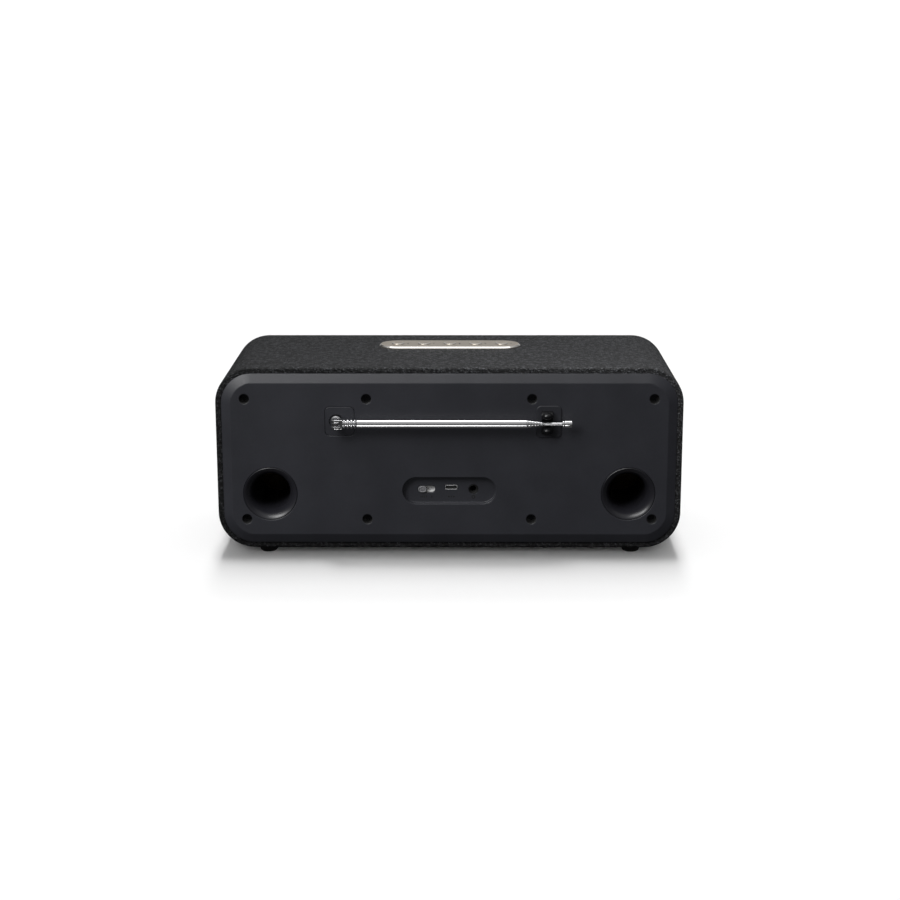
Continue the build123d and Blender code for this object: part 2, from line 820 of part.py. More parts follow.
def make_display_module():
    """The display, between the fascia's spigot and the baffle."""
    width = fascia_width - 6
    height = fascia_height - 6
    module = slab(rounded(width, height, 1.0, 0, fascia_centre), baffle_face - display_depth, baffle_face)
    glass = Pos(0, fascia_centre) * Rectangle(width - 24, height - 10)
    return module - slab(glass, baffle_face - display_depth, baffle_face - display_depth + 0.5)


def make_encoder_body():
    """The rotary encoder and its bush through the baffle."""
    half = encoder_size / 2
    z = knob_centre
    y_high = baffle_back + encoder_depth
    body = block(-half, half, baffle_back, y_high, z - half, z + half)
    bush_r = shaft_r + running_fit + encoder_bush_wall
    body += along_y(bush_r, baffle_face - 2, baffle_back, 0, z)
    return body - along_y(shaft_r + running_fit, baffle_face - 2, y_high - 1, 0, z)


def make_encoder_shaft():
    """The shaft that the knob is pressed on."""
    end = baffle_back + encoder_depth - 1 - clearance
    return along_y(shaft_r, grille_face - knob_gap - knob_length + 3, end, 0, knob_centre)


def make_volume_knob():
    """The turned volume knob, fluted round its side."""
    high = grille_face - knob_gap
    low = high - knob_length
    knob = along_y(knob_r, low, high, 0, knob_centre)
    knob = chamfer(knob.faces().sort_by(Axis.Y)[0].edges(), 0.9)
    for i in range(36):
        turn = 2 * math.pi * i / 36
        x = (knob_r + 0.35) * math.cos(turn)
        z = knob_centre + (knob_r + 0.35) * math.sin(turn)
        knob -= along_y(0.7, low + 2.2, high, x, z)
    knob -= along_y(knob_r - 2.0, high - 5.0, high, 0, knob_centre)
    knob += along_y(shaft_r + 2.5, high - 5.0, high, 0, knob_centre)
    knob -= along_y(0.8, low, low + 0.6, 0, knob_centre + knob_r - 4)
    return knob - along_y(shaft_r, low + 3, high, 0, knob_centre)


# ---------------------------------------------------------------- speakers
def driver_screw_sites(x):
    """The four screws of a speaker."""
    turns = [math.radians(45 + 90 * i) for i in range(4)]
    return [
        (x + driver_screw_circle * math.cos(t), middle + driver_screw_circle * math.sin(t))
        for t in turns
    ]


def make_driver_basket(x):
    """The pressed frame: a flange, a tapered wall with windows, and a back ring."""
    back = basket_back
    points = [
        (driver_flange_r, driver_front),
        (driver_flange_r, baffle_face),
        (driver_opening_r + basket_wall, baffle_face),
        (driver_back_r + basket_wall, back - basket_wall),
        (driver_back_r + basket_wall, back),
        (pole_r + 2, back),
        (pole_r + 2, back - basket_wall),
        (driver_back_r, back - basket_wall),
        (driver_opening_r, baffle_face),
        (driver_opening_r, driver_front),
    ]
    basket = turned(points, x, middle)
    for i in range(4):
        window = Pos(x, (baffle_face + back) / 2, middle) * Rot(0, 90 * i, 0)
        basket -= window * Pos(0, 0, 22) * Box(16, driver_depth - 8, 20)
    for px, pz in driver_screw_sites(x):
        basket -= along_y(screw_r + clearance, driver_front, baffle_face, px, pz)
    return basket


def make_driver_screws():
    """Four screws for each speaker."""
    sites = driver_screw_sites(-driver_x) + driver_screw_sites(driver_x)
    return [screw(driver_front, x, z, 1) for x, z in sites]


def make_driver_steel(x):
    """The front plate, and the back plate with its pole."""
    plate_back = basket_back + plate_thickness
    hole = coil_r + coil_gap
    plate = along_y(plate_r, basket_back, plate_back, x, middle)
    plate -= along_y(hole, basket_back, plate_back, x, middle)
    yoke_face = plate_back + magnet_thickness
    yoke = along_y(yoke_r, yoke_face, yoke_face + plate_thickness, x, middle)
    yoke += along_y(pole_r, basket_back, yoke_face, x, middle)
    return [plate, chamfer(yoke.edges().sort_by(Axis.Y)[-1], 0.6)]


def make_driver_magnet(x):
    """The ferrite ring between the steel plates."""
    low = basket_back + plate_thickness
    ring = along_y(magnet_r, low, low + magnet_thickness, x, middle)
    ring = chamfer(ring.edges(), 0.6)
    return ring - along_y(coil_r + coil_gap + 1.5, low, low + magnet_thickness, x, middle)


def make_cone(x):
    """The paper cone and, as a second solid, its dust cap."""
    edge = driver_front
    neck = edge + cone_depth
    points = [
        (cone_r, edge),
        (cone_r, edge + cone_wall),
        (coil_r + cone_wall, neck),
        (coil_r, neck),
        (coil_r, neck - cone_wall),
        (cone_r - cone_wall * 1.5, edge),
    ]
    cone = turned(points, x, middle)
    share = (dust_cap_r - coil_r) / (cone_r - coil_r)
    rim = neck - cone_wall - share * (cone_depth - cone_wall) - clearance
    rise = 3.2
    ball = (dust_cap_r**2 + rise**2) / (2 * rise)
    dome = Pos(x, rim - rise + ball, middle) * (Sphere(ball) - Sphere(ball - 0.4))
    cap = dome & along_y(dust_cap_r - 0.3, rim - rise - 1, rim, x, middle)
    return [cone, cap]


def make_voice_coil(x):
    """The coil on its former, hung in the magnet's gap."""
    neck = driver_front + cone_depth
    former = along_y(coil_r, neck, neck + coil_length, x, middle)
    return former - along_y(coil_r - coil_wall, neck, neck + coil_length, x, middle)


def make_surround(x):
    """The rubber half roll between the cone and the flange."""
    centre_r = cone_r + surround_roll_r + 0.5
    base = driver_front - clearance
    rim_r = centre_r + surround_roll_r + surround_foot
    outer = [(centre_r + surround_roll_r, base), (rim_r, base), (rim_r, base - surround_wall)]
    steps = 8
    crest = []
    for i in range(steps + 1):
        turn = math.pi * i / steps
        reach = surround_roll_r
        crest.append((centre_r + reach * math.cos(turn), base - surround_wall - reach * math.sin(turn)))
    inner = []
    for i in range(steps + 1):
        turn = math.pi * (1 - i / steps)
        reach = surround_roll_r - surround_wall
        inner.append((centre_r + reach * math.cos(turn), base - reach * math.sin(turn)))
    foot = [(cone_r - 0.8, base - surround_wall), (cone_r - 0.8, base)]
    return turned(outer + crest + foot + inner, x, middle)


def make_spider(x):
    """The corrugated disc that centres the coil."""
    level = (baffle_face + basket_back) / 2
    share = (level - baffle_face) / (driver_depth - basket_wall)
    reach = driver_opening_r + share * (driver_back_r - driver_opening_r) - spider_gap
    start = coil_r + spider_gap
    waves = 4
    steps = waves * 4
    ridge = []
    for i in range(steps + 1):
        radius = start + (reach - start) * i / steps
        ridge.append((radius, level + 0.5 * math.sin(2 * math.pi * waves * i / steps)))
    valley = [(radius, y + spider_wall) for radius, y in reversed(ridge)]
    return turned(ridge + valley, x, middle)


# ---------------------------------------------------------------- inside the middle bay
def make_battery_tray():
    """An open tray on the cabinet's floor."""
    half_x = cell_length / 2 + tray_wall + clearance
    half_y = 2 * cell_r + tray_wall + 2 * clearance
    low = inner_bottom
    tray = block(-half_x, half_x, -half_y, half_y, low, low + cell_r)
    hollow_x = half_x - tray_wall
    hollow_y = half_y - tray_wall
    return tray - block(-hollow_x, hollow_x, -hollow_y, hollow_y, low + tray_wall, low + cell_r)


def make_battery_cells():
    """Two round cells side by side."""
    z = inner_bottom + tray_wall + cell_r + clearance
    cells = []
    for side in (-1, 1):
        y = side * (cell_r + clearance / 2)
        cell = along_x(cell_r, -cell_length / 2 + 1, cell_length / 2, y, z)
        cells.append(cell + along_x(cell_r / 3, -cell_length / 2, -cell_length / 2 + 1, y, z))
    return cells


def board_level():
    """The main board's lower and upper edges."""
    high = keypad_top() - keypad_thickness - 2
    return (high - board_height, high)


def make_main_board():
    """The main circuit board, on posts from the baffle."""
    low, high = board_level()
    y = baffle_back + board_gap
    board = block(-board_width / 2, board_width / 2, y, y + board_thickness, low, high)
    for x in (-board_width / 2 + 5, board_width / 2 - 5):
        for z in (low + 5, high - 5):
            board += along_y(2.5, baffle_back, y, x, z)
    return board


def make_board_parts():
    """The screened tuner, the amplifier's heat sink, a chip and four capacitors."""
    low, high = board_level()
    face = baffle_back + board_gap + board_thickness
    tuner = block(-46, -22, face, face + 4, high - 30, high - 8)
    chip = block(-8, 8, face, face + 1.6, high - 26, high - 10)
    sink = block(18, 46, face, face + 3, low + 6, low + 26)
    for i in range(6):
        fin = 19.0 + i * 5.0
        sink += block(fin, fin + 1.4, face + 3, face + 12, low + 6, low + 26)
    caps = [along_y(4.0, face, face + 11, -40 + 11 * i, low + 10) for i in range(4)]
    return [tuner, chip, sink] + caps


# ---------------------------------------------------------------- write one file for each sub-part
def all_parts():
    """Every sub-part by its node name."""
    parts = {
        "cabinet_sleeve": make_cabinet_sleeve(),
        "leatherette_wrap": make_leatherette_wrap(),
        "feet": make_feet(),
        "foot_screws": make_foot_screws(),
        "divider_walls": make_divider_walls(),
        "rear_panel": make_rear_panel(),
        "rear_frame": make_rear_frame(),
        "rear_screws": make_rear_screws(),
        "reflex_port_left": make_reflex_port(-port_x),
        "reflex_port_right": make_reflex_port(port_x),
        "io_board": make_io_board(),
        "usb_socket": make_usb_socket(),
        "audio_jack": make_audio_jack(),
        "power_switch": make_power_switch(),
        "power_switch_knob": make_power_switch_knob(),
        "antenna_seat": make_antenna_seat(),
        "antenna_bush": make_antenna_bush(),
        "antenna_base": make_antenna_base(),
        "antenna_elbow": make_antenna_elbow(),
        "antenna_pin": make_antenna_pin(),
        "antenna_tube": make_antenna_tube(),
        "antenna_rod": make_antenna_rod(),
        "antenna_cap": make_antenna_cap(),
        "antenna_clip": make_antenna_clip(),
        "top_panel": make_top_panel(),
        "keypad_board": make_keypad_board(),
        "tact_switches": make_tact_switches(),
        "front_baffle": make_front_baffle(),
        "front_grille": make_front_grille(),
        "front_trim_ring": make_front_trim_ring(),
        "display_fascia": make_display_fascia(),
        "display_window": make_display_window(),
        "display_module": make_display_module(),
        "encoder_body": make_encoder_body(),
        "encoder_shaft": make_encoder_shaft(),
        "volume_knob": make_volume_knob(),
        "driver_screws": make_driver_screws(),
        "driver_baskets": [make_driver_basket(-driver_x), make_driver_basket(driver_x)],
        "driver_steel": make_driver_steel(-driver_x) + make_driver_steel(driver_x),
        "driver_magnets": [make_driver_magnet(-driver_x), make_driver_magnet(driver_x)],
        "driver_surrounds": [make_surround(-driver_x), make_surround(driver_x)],
        "driver_spiders": [make_spider(-driver_x), make_spider(driver_x)],
        "battery_tray": make_battery_tray(),
        "battery_cells": make_battery_cells(),
        "main_board": make_main_board(),
        "board_parts": make_board_parts(),
    }
    for number in range(1, aerial_stages + 1):
        parts[f"antenna_stage_{number}"] = make_antenna_stage(number)
    for number, x in enumerate(button_xs(), start=1):
        parts[f"button_{number}"] = make_button(x)
    for name, x in (("left", -driver_x), ("right", driver_x)):
        parts[f"cone_{name}"] = make_cone(x)
        parts[f"voice_coil_{name}"] = make_voice_coil(x)
    return parts


def as_shape(piece):
    """One shape from a piece or a list of pieces."""
    if isinstance(piece, list):
        return Compound(children=[solid for one in piece for solid in one.solids()])
    return piece


os.makedirs("parts", exist_ok=True)
for name, piece in all_parts().items():
    export_step(as_shape(piece), f"parts/{name}.step")
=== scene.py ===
import json
import logging
import math
from collections.abc import Iterable, Sequence
from dataclasses import dataclass
from enum import Enum

import bmesh
import bpy
from bmesh.types import BMEdge, BMFace, BMVert
from bpy.types import Collection, Material, Node, NodeSocket, Object, World
from mathutils import Matrix, Vector

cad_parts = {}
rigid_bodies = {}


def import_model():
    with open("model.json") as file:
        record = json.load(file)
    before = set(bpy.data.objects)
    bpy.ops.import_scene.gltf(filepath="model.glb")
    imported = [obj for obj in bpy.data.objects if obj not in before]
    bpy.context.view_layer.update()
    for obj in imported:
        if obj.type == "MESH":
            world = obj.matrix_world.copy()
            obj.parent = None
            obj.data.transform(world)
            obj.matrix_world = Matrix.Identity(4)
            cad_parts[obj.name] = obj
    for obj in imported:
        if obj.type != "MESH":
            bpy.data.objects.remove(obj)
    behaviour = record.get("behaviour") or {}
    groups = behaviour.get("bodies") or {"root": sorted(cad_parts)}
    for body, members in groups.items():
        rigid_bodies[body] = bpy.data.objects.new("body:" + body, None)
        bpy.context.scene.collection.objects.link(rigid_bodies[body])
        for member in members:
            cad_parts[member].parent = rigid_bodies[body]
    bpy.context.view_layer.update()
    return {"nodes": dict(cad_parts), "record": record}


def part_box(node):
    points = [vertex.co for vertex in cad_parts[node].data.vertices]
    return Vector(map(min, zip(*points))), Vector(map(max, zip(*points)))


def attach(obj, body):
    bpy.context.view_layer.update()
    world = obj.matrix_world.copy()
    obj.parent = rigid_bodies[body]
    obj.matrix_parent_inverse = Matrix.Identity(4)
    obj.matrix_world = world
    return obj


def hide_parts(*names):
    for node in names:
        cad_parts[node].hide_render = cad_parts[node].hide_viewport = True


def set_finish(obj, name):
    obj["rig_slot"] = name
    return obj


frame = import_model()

MM = 0.001
FULL_TURN = 2 * math.pi
RIGHT = Vector((1, 0, 0))
BACK = Vector((0, 1, 0))
UP = Vector((0, 0, 1))
Colour = tuple[float, float, float]
Profile = Sequence[tuple[float, float]]
log = logging.getLogger("mini_hifi")


# ------------------------------------------------------------------ shader maths
class Amount:
    """A number that varies over a surface. Arithmetic on it adds Math nodes."""

    def __init__(self, recipe: "Recipe", socket: NodeSocket) -> None:
        """Wraps an output socket of the recipe's tree."""
        self.recipe = recipe
        self.socket = socket

    def _maths(self, operation: str, first: object, second: object) -> "Amount":
        """One Math node.

        Args:
            operation: the Math node's operation.
            first: its first value or link.
            second: its second value or link.

        Returns:
            The node's result.
        """
        node = self.recipe.node("ShaderNodeMath", {"operation": operation}, {0: first, 1: second})
        return Amount(self.recipe, node.outputs[0])

    def __add__(self, other: object) -> "Amount":
        """self + other."""
        return self._maths("ADD", self, other)

    def __sub__(self, other: object) -> "Amount":
        """self - other."""
        return self._maths("SUBTRACT", self, other)

    def __rsub__(self, other: object) -> "Amount":
        """other - self."""
        return self._maths("SUBTRACT", other, self)

    def __mul__(self, other: object) -> "Amount":
        """self * other."""
        return self._maths("MULTIPLY", self, other)

    def __pow__(self, other: object) -> "Amount":
        """self ** other."""
        return self._maths("POWER", self, other)

    __radd__ = __add__
    __rmul__ = __mul__


class Recipe:
    """A material, or the studio's sky, while it is being mixed."""

    def __init__(self, owner: Material | World, place: str = "Object") -> None:
        """Starts with no nodes but the coordinates.

        Args:
            owner: what is mixed.
            place: which coordinates its patterns lie on.
        """
        self.owner = owner
        owner.use_nodes = True
        self.tree = owner.node_tree
        self.tree.nodes.clear()
        self.place = self.node("ShaderNodeTexCoord").outputs[place]

    def node(self, kind: str, settings: dict | None = None, inputs: dict | None = None) -> Node:
        """Adds a node.

        Args:
            kind: the node's type.
            settings: its properties, set first.
            inputs: values or links for its sockets, by name or number.

        Returns:
            The new node.
        """
        node = self.tree.nodes.new(kind)
        for key, value in (settings or {}).items():
            setattr(node, key, value)
        for key, value in (inputs or {}).items():
            link = value.socket if isinstance(value, Amount) else value
            if isinstance(link, NodeSocket):
                self.tree.links.new(link, node.inputs[key])
            else:
                node.inputs[key].default_value = link
        return node

    def stretched(self, stretch: Colour, turn: Colour = (0.0, 0.0, 0.0)) -> NodeSocket:
        """Object coordinates with each axis multiplied by stretch, after a turn in radians."""
        values = {"Vector": self.place, "Scale": stretch, "Rotation": turn}
        return self.node("ShaderNodeMapping", None, values).outputs["Vector"]

    def noise(self, size: float, detail: float = 2.0, place: NodeSocket | None = None) -> Amount:
        """Noise whose blotches are about size metres across, from 0 to 1."""
        inputs = {"Vector": place or self.place, "Scale": 1 / size, "Detail": detail}
        return Amount(self, self.node("ShaderNodeTexNoise", None, inputs).outputs[0])

    def cells(self, size: float, feature: str = "F1", place: NodeSocket | None = None) -> Amount:
        """Distance inside cells of about size metres, from 0 at each seed or seam."""
        settings = {"feature": feature}
        inputs = {"Vector": place or self.place, "Scale": 1 / size}
        return Amount(self, self.node("ShaderNodeTexVoronoi", settings, inputs).outputs["Distance"])

    def between(self, amount: Amount, low: float, high: float) -> Amount:
        """Amount stretched so that low to high becomes 0 to 1, smoothly and no further."""
        settings = {"interpolation_type": "SMOOTHSTEP"}
        inputs = {"Value": amount, "From Min": low, "From Max": high}
        return Amount(self, self.node("ShaderNodeMapRange", settings, inputs).outputs[0])

    def blend(self, first: object, second: object, amount: Amount) -> NodeSocket:
        """A colour between first, where amount is 0, and second, where it is 1."""
        ends = [(*end, 1.0) if isinstance(end, tuple) else end for end in (first, second)]
        inputs = {0: amount, 6: ends[0], 7: ends[1]}
        return self.node("ShaderNodeMix", {"data_type": "RGBA"}, inputs).outputs[2]

    def bump(self, height: Amount, depth: float, under: NodeSocket | None = None) -> NodeSocket:
        """A surface normal for a height of depth metres, on top of another bump."""
        inputs: dict = {"Height": height, "Distance": depth}
        if under is not None:
            inputs["Normal"] = under
        return self.node("ShaderNodeBump", None, inputs).outputs["Normal"]

    def surface(self, **sockets: object) -> Material:
        """Ends the recipe with one shader, and returns the material.

        Args:
            sockets: the shader's values and links, with _ for a space in a name.

        Returns:
            The finished material.
        """
        inputs = {name.replace("_", " "): value for name, value in sockets.items()}
        if isinstance(inputs.get("Base Color"), tuple):
            inputs["Base Color"] = (*inputs["Base Color"], 1.0)
        shader = self.node("ShaderNodeBsdfPrincipled", None, inputs)
        self.node("ShaderNodeOutputMaterial", None, {"Surface": shader.outputs[0]})
        return self.owner


def shade(colour: Colour, factor: float) -> Colour:
    """Colour made lighter or darker."""
    return (colour[0] * factor, colour[1] * factor, colour[2] * factor)


# ------------------------------------------------------------------ finishes
@dataclass(frozen=True)
class Finish:
    """What every finish has: the record's slot that it stands for, a name and a base colour."""

    slot: str
    colour: Colour
    roughness: float = 0.5

    def material(self) -> Material:
        """The finish's material, mixed once."""
        name = f"{self.slot}_{type(self).__name__.lower()}"
        return bpy.data.materials.get(name) or self.mix(Recipe(bpy.data.materials.new(name)))

    def mix(self, recipe: Recipe) -> Material:
        """Mixes the material in an empty recipe."""
        raise NotImplementedError


@dataclass(frozen=True)
class Leatherette(Finish):
    """Embossed vinyl: small flat-topped pebbles with creases between them, and a faint waviness, with painted shade
    in the creases and hollows and a painted glint on the raised clusters.
    """

    pebble: float = 0.0016
    crease: float = 0.0002
    wave: float = 0.022

    def mix(self, recipe: Recipe) -> Material:
        """Mixes the material."""
        warp = recipe.node("ShaderNodeTexNoise", None, {"Vector": recipe.place, "Scale": 900.0})
        pull = recipe.node(
            "ShaderNodeVectorMath",
            {"operation": "SCALE"},
            {0: warp.outputs["Color"], "Scale": self.pebble * 0.5},
        )
        inputs = {0: recipe.place, 1: pull.outputs[0]}
        place = recipe.node("ShaderNodeVectorMath", {"operation": "ADD"}, inputs)
        seams = recipe.cells(self.pebble, "DISTANCE_TO_EDGE", place.outputs[0])
        pebbles = recipe.between(seams, 0.02, 0.3)
        clusters = recipe.between(recipe.noise(self.pebble * 1.35, 3.0), 0.4, 0.6)
        fine = recipe.noise(self.pebble * 0.3, 3.0)
        waviness = recipe.noise(self.wave, 1.0)
        low = recipe.bump(waviness * 0.7 + clusters, self.crease * 1.2)
        normal = recipe.bump(pebbles + fine * 0.35, self.crease, low)
        patches = recipe.noise(0.045, 3.0)
        worn = recipe.between(patches, 0.35, 0.75)
        face = recipe.blend(shade(self.colour, 0.9), shade(self.colour, 1.18), worn)
        # Painted glint and painted shade: the raised clusters are lightened and the low places between them darkened,
        # following the bump's height.
        cluster_glint = recipe.blend(face, shade(self.colour, 1.9), clusters)
        hollow_shade = recipe.blend(shade(self.colour, 0.3), cluster_glint, clusters)
        # Painted shade: the creases between the pebbles are darkened to a fifth of the colour.
        base = recipe.blend(shade(self.colour, 0.2), hollow_shade, pebbles)
        rough = self.roughness + 0.1 * (1 - pebbles) + 0.2 * (1 - clusters) + 0.06 * patches
        return recipe.surface(Base_Color=base, Roughness=rough, Normal=normal, IOR=1.42)


@dataclass(frozen=True)
class Moulded(Finish):
    """Moulded plastic or rubber with a spark-eroded or satin skin."""

    grain: float = 0.00035
    depth: float = 0.00002
    mottle: float = 0.12
    coat: float = 0.0

    def mix(self, recipe: Recipe) -> Material:
        """Mixes the material."""
        grit = recipe.cells(self.grain)
        fine = recipe.noise(self.grain * 2.2, 4.0)
        flow = recipe.noise(0.03, 3.0)
        normal = recipe.bump(grit * 0.7 + fine, self.depth)
        tone = recipe.between(flow * 0.6 + fine * 0.4, 0.3, 0.7)
        base = recipe.blend(shade(self.colour, 1 - self.mottle), shade(self.colour, 1 + self.mottle), tone)
        rough = self.roughness - 0.05 + 0.1 * flow
        return recipe.surface(
            Base_Color=base, Roughness=rough, Normal=normal, IOR=1.5, Coat_Weight=self.coat,
            Coat_Roughness=0.1,
        )


@dataclass(frozen=True)
class Metal(Finish):
    """Bare, plated or anodised metal. Grain is how far its scratches run along each axis."""

    grain: Colour = (1.0, 1.0, 1.0)
    scratch: float = 0.0006
    depth: float = 0.000004
    haze: float = 0.06

    def mix(self, recipe: Recipe) -> Material:
        """Mixes the material."""
        lines = recipe.noise(self.scratch, 4.0, recipe.stretched(self.grain))
        smear = recipe.noise(0.012, 3.0)
        normal = recipe.bump(lines, self.depth)
        base = recipe.blend(shade(self.colour, 0.93), shade(self.colour, 1.05), lines)
        rough = self.roughness + self.haze * smear + self.haze * 0.5 * lines
        return recipe.surface(Base_Color=base, Roughness=rough, Metallic=1.0, Normal=normal)


@dataclass(frozen=True)
class Fibreboard(Finish):
    """Raw board: matted fibres with darker flecks."""

    def mix(self, recipe: Recipe) -> Material:
        """Mixes the material."""
        fibres = recipe.noise(0.0012, 5.0, recipe.stretched((1.0, 0.35, 1.0)))
        flecks = recipe.between(recipe.cells(0.0017), 0.06, 0.22)
        face = recipe.blend(shade(self.colour, 0.8), shade(self.colour, 1.15), fibres)
        base = recipe.blend(shade(self.colour, 0.5), face, flecks)
        normal = recipe.bump(fibres, 0.00008)
        return recipe.surface(Base_Color=base, Roughness=self.roughness + 0.1 * fibres, Normal=normal)


@dataclass(frozen=True)
class SolderMask(Finish):
    """A circuit board's lacquer over copper tracks."""

    def mix(self, recipe: Recipe) -> Material:
        """Mixes the material."""
        rows = recipe.cells(0.0034, "DISTANCE_TO_EDGE")
        tracks = 1 - recipe.between(rows, 0.03, 0.07)
        pads = 1 - recipe.between(recipe.cells(0.0041), 0.1, 0.14)
        base = recipe.blend(self.colour, shade(self.colour, 1.9), tracks)
        tinned = recipe.blend(base, (0.7, 0.68, 0.6), pads)
        normal = recipe.bump(tracks + pads, 0.00004)
        return recipe.surface(
            Base_Color=tinned, Roughness=0.25 + 0.15 * tracks, Metallic=pads * 0.8, Normal=normal
        )


@dataclass(frozen=True)
class Fibrous(Finish):
    """Pressed pulp, dipped cloth or a wound coil: threads laid across each other."""

    thread: float = 0.0005
    depth: float = 0.00006
    grain: Colour = (1.0, 1.0, 1.0)

    def mix(self, recipe: Recipe) -> Material:
        """Mixes the material."""
        threads = recipe.noise(self.thread, 4.0, recipe.stretched(self.grain))
        knots = recipe.cells(self.thread * 1.6)
        tone = recipe.between(threads, 0.3, 0.7)
        base = recipe.blend(shade(self.colour, 0.7), shade(self.colour, 1.35), tone)
        normal = recipe.bump(threads + knots * 0.4, self.depth)
        return recipe.surface(Base_Color=base, Roughness=self.roughness + 0.12 * threads, Normal=normal)


@dataclass(frozen=True)
class Glazing(Finish):
    """A smoked window or a dark display behind it, with faint wipe marks."""

    def mix(self, recipe: Recipe) -> Material:
        """Mixes the material."""
        wipes = recipe.noise(0.02, 5.0, recipe.stretched((1.0, 1.0, 2.5)))
        base = recipe.blend(shade(self.colour, 0.85), shade(self.colour, 1.15), wipes)
        normal = recipe.bump(recipe.noise(0.03, 1.0), 0.00001)
        rough = self.roughness + 0.06 * wipes
        return recipe.surface(
            Base_Color=base, Roughness=rough, Normal=normal, IOR=1.49, Coat_Weight=0.6, Coat_Roughness=0.03
        )


LEATHERETTE = Leatherette("leatherette", (0.0265, 0.0275, 0.0305), 0.5)
REAR_PLASTIC = Moulded("rear_plastic", (0.0205, 0.0212, 0.0265), 0.45, depth=0.000018)
PORT_PLASTIC = Moulded("port_plastic", (0.015, 0.015, 0.019), 0.32, depth=0.00001)
INNER_PLASTIC = Moulded("inner_plastic", (0.03, 0.03, 0.032), 0.5)
CLIP_PLASTIC = Moulded("clip_plastic", (0.006, 0.006, 0.007), 0.26, depth=0.000006)
FOOT_RUBBER = Moulded("foot_rubber", (0.013, 0.013, 0.013), 0.62, grain=0.0005, depth=0.00003)
GRILLE_PLASTIC = Moulded("grille_plastic", (0.024, 0.0245, 0.027), 0.48, depth=0.00002)
JACK_PLASTIC = Moulded("jack_plastic", (0.005, 0.005, 0.005), 0.75)
SWITCH_PLASTIC = Moulded("switch_plastic", (0.17, 0.17, 0.18), 0.36)
SWITCH_CAN = Moulded("switch_can", (0.88, 0.88, 0.88), 0.35, mottle=0.05)
SURROUND_RUBBER = Moulded("surround_rubber", (0.018, 0.018, 0.018), 0.42, depth=0.00001)
CELL_SLEEVE = Moulded("cell_sleeve", (0.03, 0.12, 0.38), 0.22, depth=0.000006, coat=0.3)
FERRITE = Moulded("ferrite", (0.05, 0.05, 0.055), 0.6, grain=0.0003, depth=0.00004)
AERIAL_CHROME = Metal(
    "aerial_chrome", (0.86, 0.86, 0.88), 0.09, grain=(0.01, 1.0, 1.0), scratch=0.0004, depth=6e-7,
    haze=0.03,
)
BRIGHT_STEEL = Metal("bright_steel", (0.62, 0.62, 0.63), 0.26)
SCREW_STEEL = Metal("screw_steel", (0.5, 0.5, 0.5), 0.32)
BLACK_STEEL = Metal("black_steel", (0.05, 0.05, 0.055), 0.38)
BASKET_STEEL = Moulded("basket_steel", (0.02, 0.02, 0.02), 0.35, grain=0.0008)
CHAMPAGNE = Metal("champagne_metal", (0.50, 0.445, 0.375), 0.34, scratch=0.0003, depth=0.00001)
CIRCUIT_BOARD = SolderMask("circuit_board", (0.012, 0.09, 0.035))
CABINET_WOOD = Fibreboard("cabinet_wood", (0.42, 0.29, 0.17), 0.8)
CONE_PAPER = Fibrous("cone_paper", (0.028, 0.028, 0.03), 0.7)
SPIDER_CLOTH = Fibrous("spider_cloth", (0.5, 0.3, 0.08), 0.7, thread=0.0003)
COIL_COPPER = Fibrous("coil_copper", (0.55, 0.24, 0.08), 0.3, thread=0.0004, grain=(0.05, 1.0, 0.05))
SMOKED_WINDOW = Glazing("smoked_window", (0.012, 0.012, 0.014), 0.08)
DISPLAY_GLASS = Glazing("display_glass", (0.018, 0.024, 0.024), 0.2)


@dataclass(frozen=True)
class Polished(Metal):
    """The bright cut edge of an anodised part."""


@dataclass(frozen=True)
class WellShade(Moulded):
    """The panel's plastic made near black inside a deep hole: painted shade, so the wells read dark."""


# Near-black painted shade for the screw wells' walls and floors, in the rear plastic's slot.
WELL_SHADE = WellShade("rear_plastic", (0.002, 0.002, 0.0025), 0.9, depth=0.00003)
POLISHED_EDGE = Polished("champagne_metal", (0.93, 0.91, 0.87), 0.1, scratch=0.0004)
NODE_FINISH = {finish.slot: finish for finish in (
    LEATHERETTE, REAR_PLASTIC, PORT_PLASTIC, INNER_PLASTIC, CLIP_PLASTIC, FOOT_RUBBER, GRILLE_PLASTIC,
    JACK_PLASTIC, SWITCH_PLASTIC, SWITCH_CAN, SURROUND_RUBBER, CELL_SLEEVE, FERRITE, AERIAL_CHROME,
    BRIGHT_STEEL, SCREW_STEEL, BLACK_STEEL, BASKET_STEEL, CHAMPAGNE, CIRCUIT_BOARD, CABINET_WOOD,
    CONE_PAPER, SPIDER_CLOTH, COIL_COPPER, SMOKED_WINDOW, DISPLAY_GLASS,
)}


# ------------------------------------------------------------------ shapes
class Box:
    """A CAD node's place and size at rest, in millimetres."""

    def __init__(self, node: str) -> None:
        """Reads the node's box."""
        low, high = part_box(node)
        self.low = Vector(low) / MM
        self.high = Vector(high) / MM
        self.size = self.high - self.low
        self.centre = (self.low + self.high) / 2


class Facing(Enum):
    """Where a shape's own x, y and z axes point once it is placed on the object."""

    REAR = (-RIGHT, UP, BACK)
    FRONT = (RIGHT, UP, -BACK)
    TOP = (RIGHT, BACK, UP)
    ALONG = (-BACK, UP, -RIGHT)

    def matrix(self, origin: Vector) -> Matrix:
        """The turn and shift that put a shape there."""
        return Matrix.Translation(origin) @ Matrix(self.value).transposed().to_4x4()


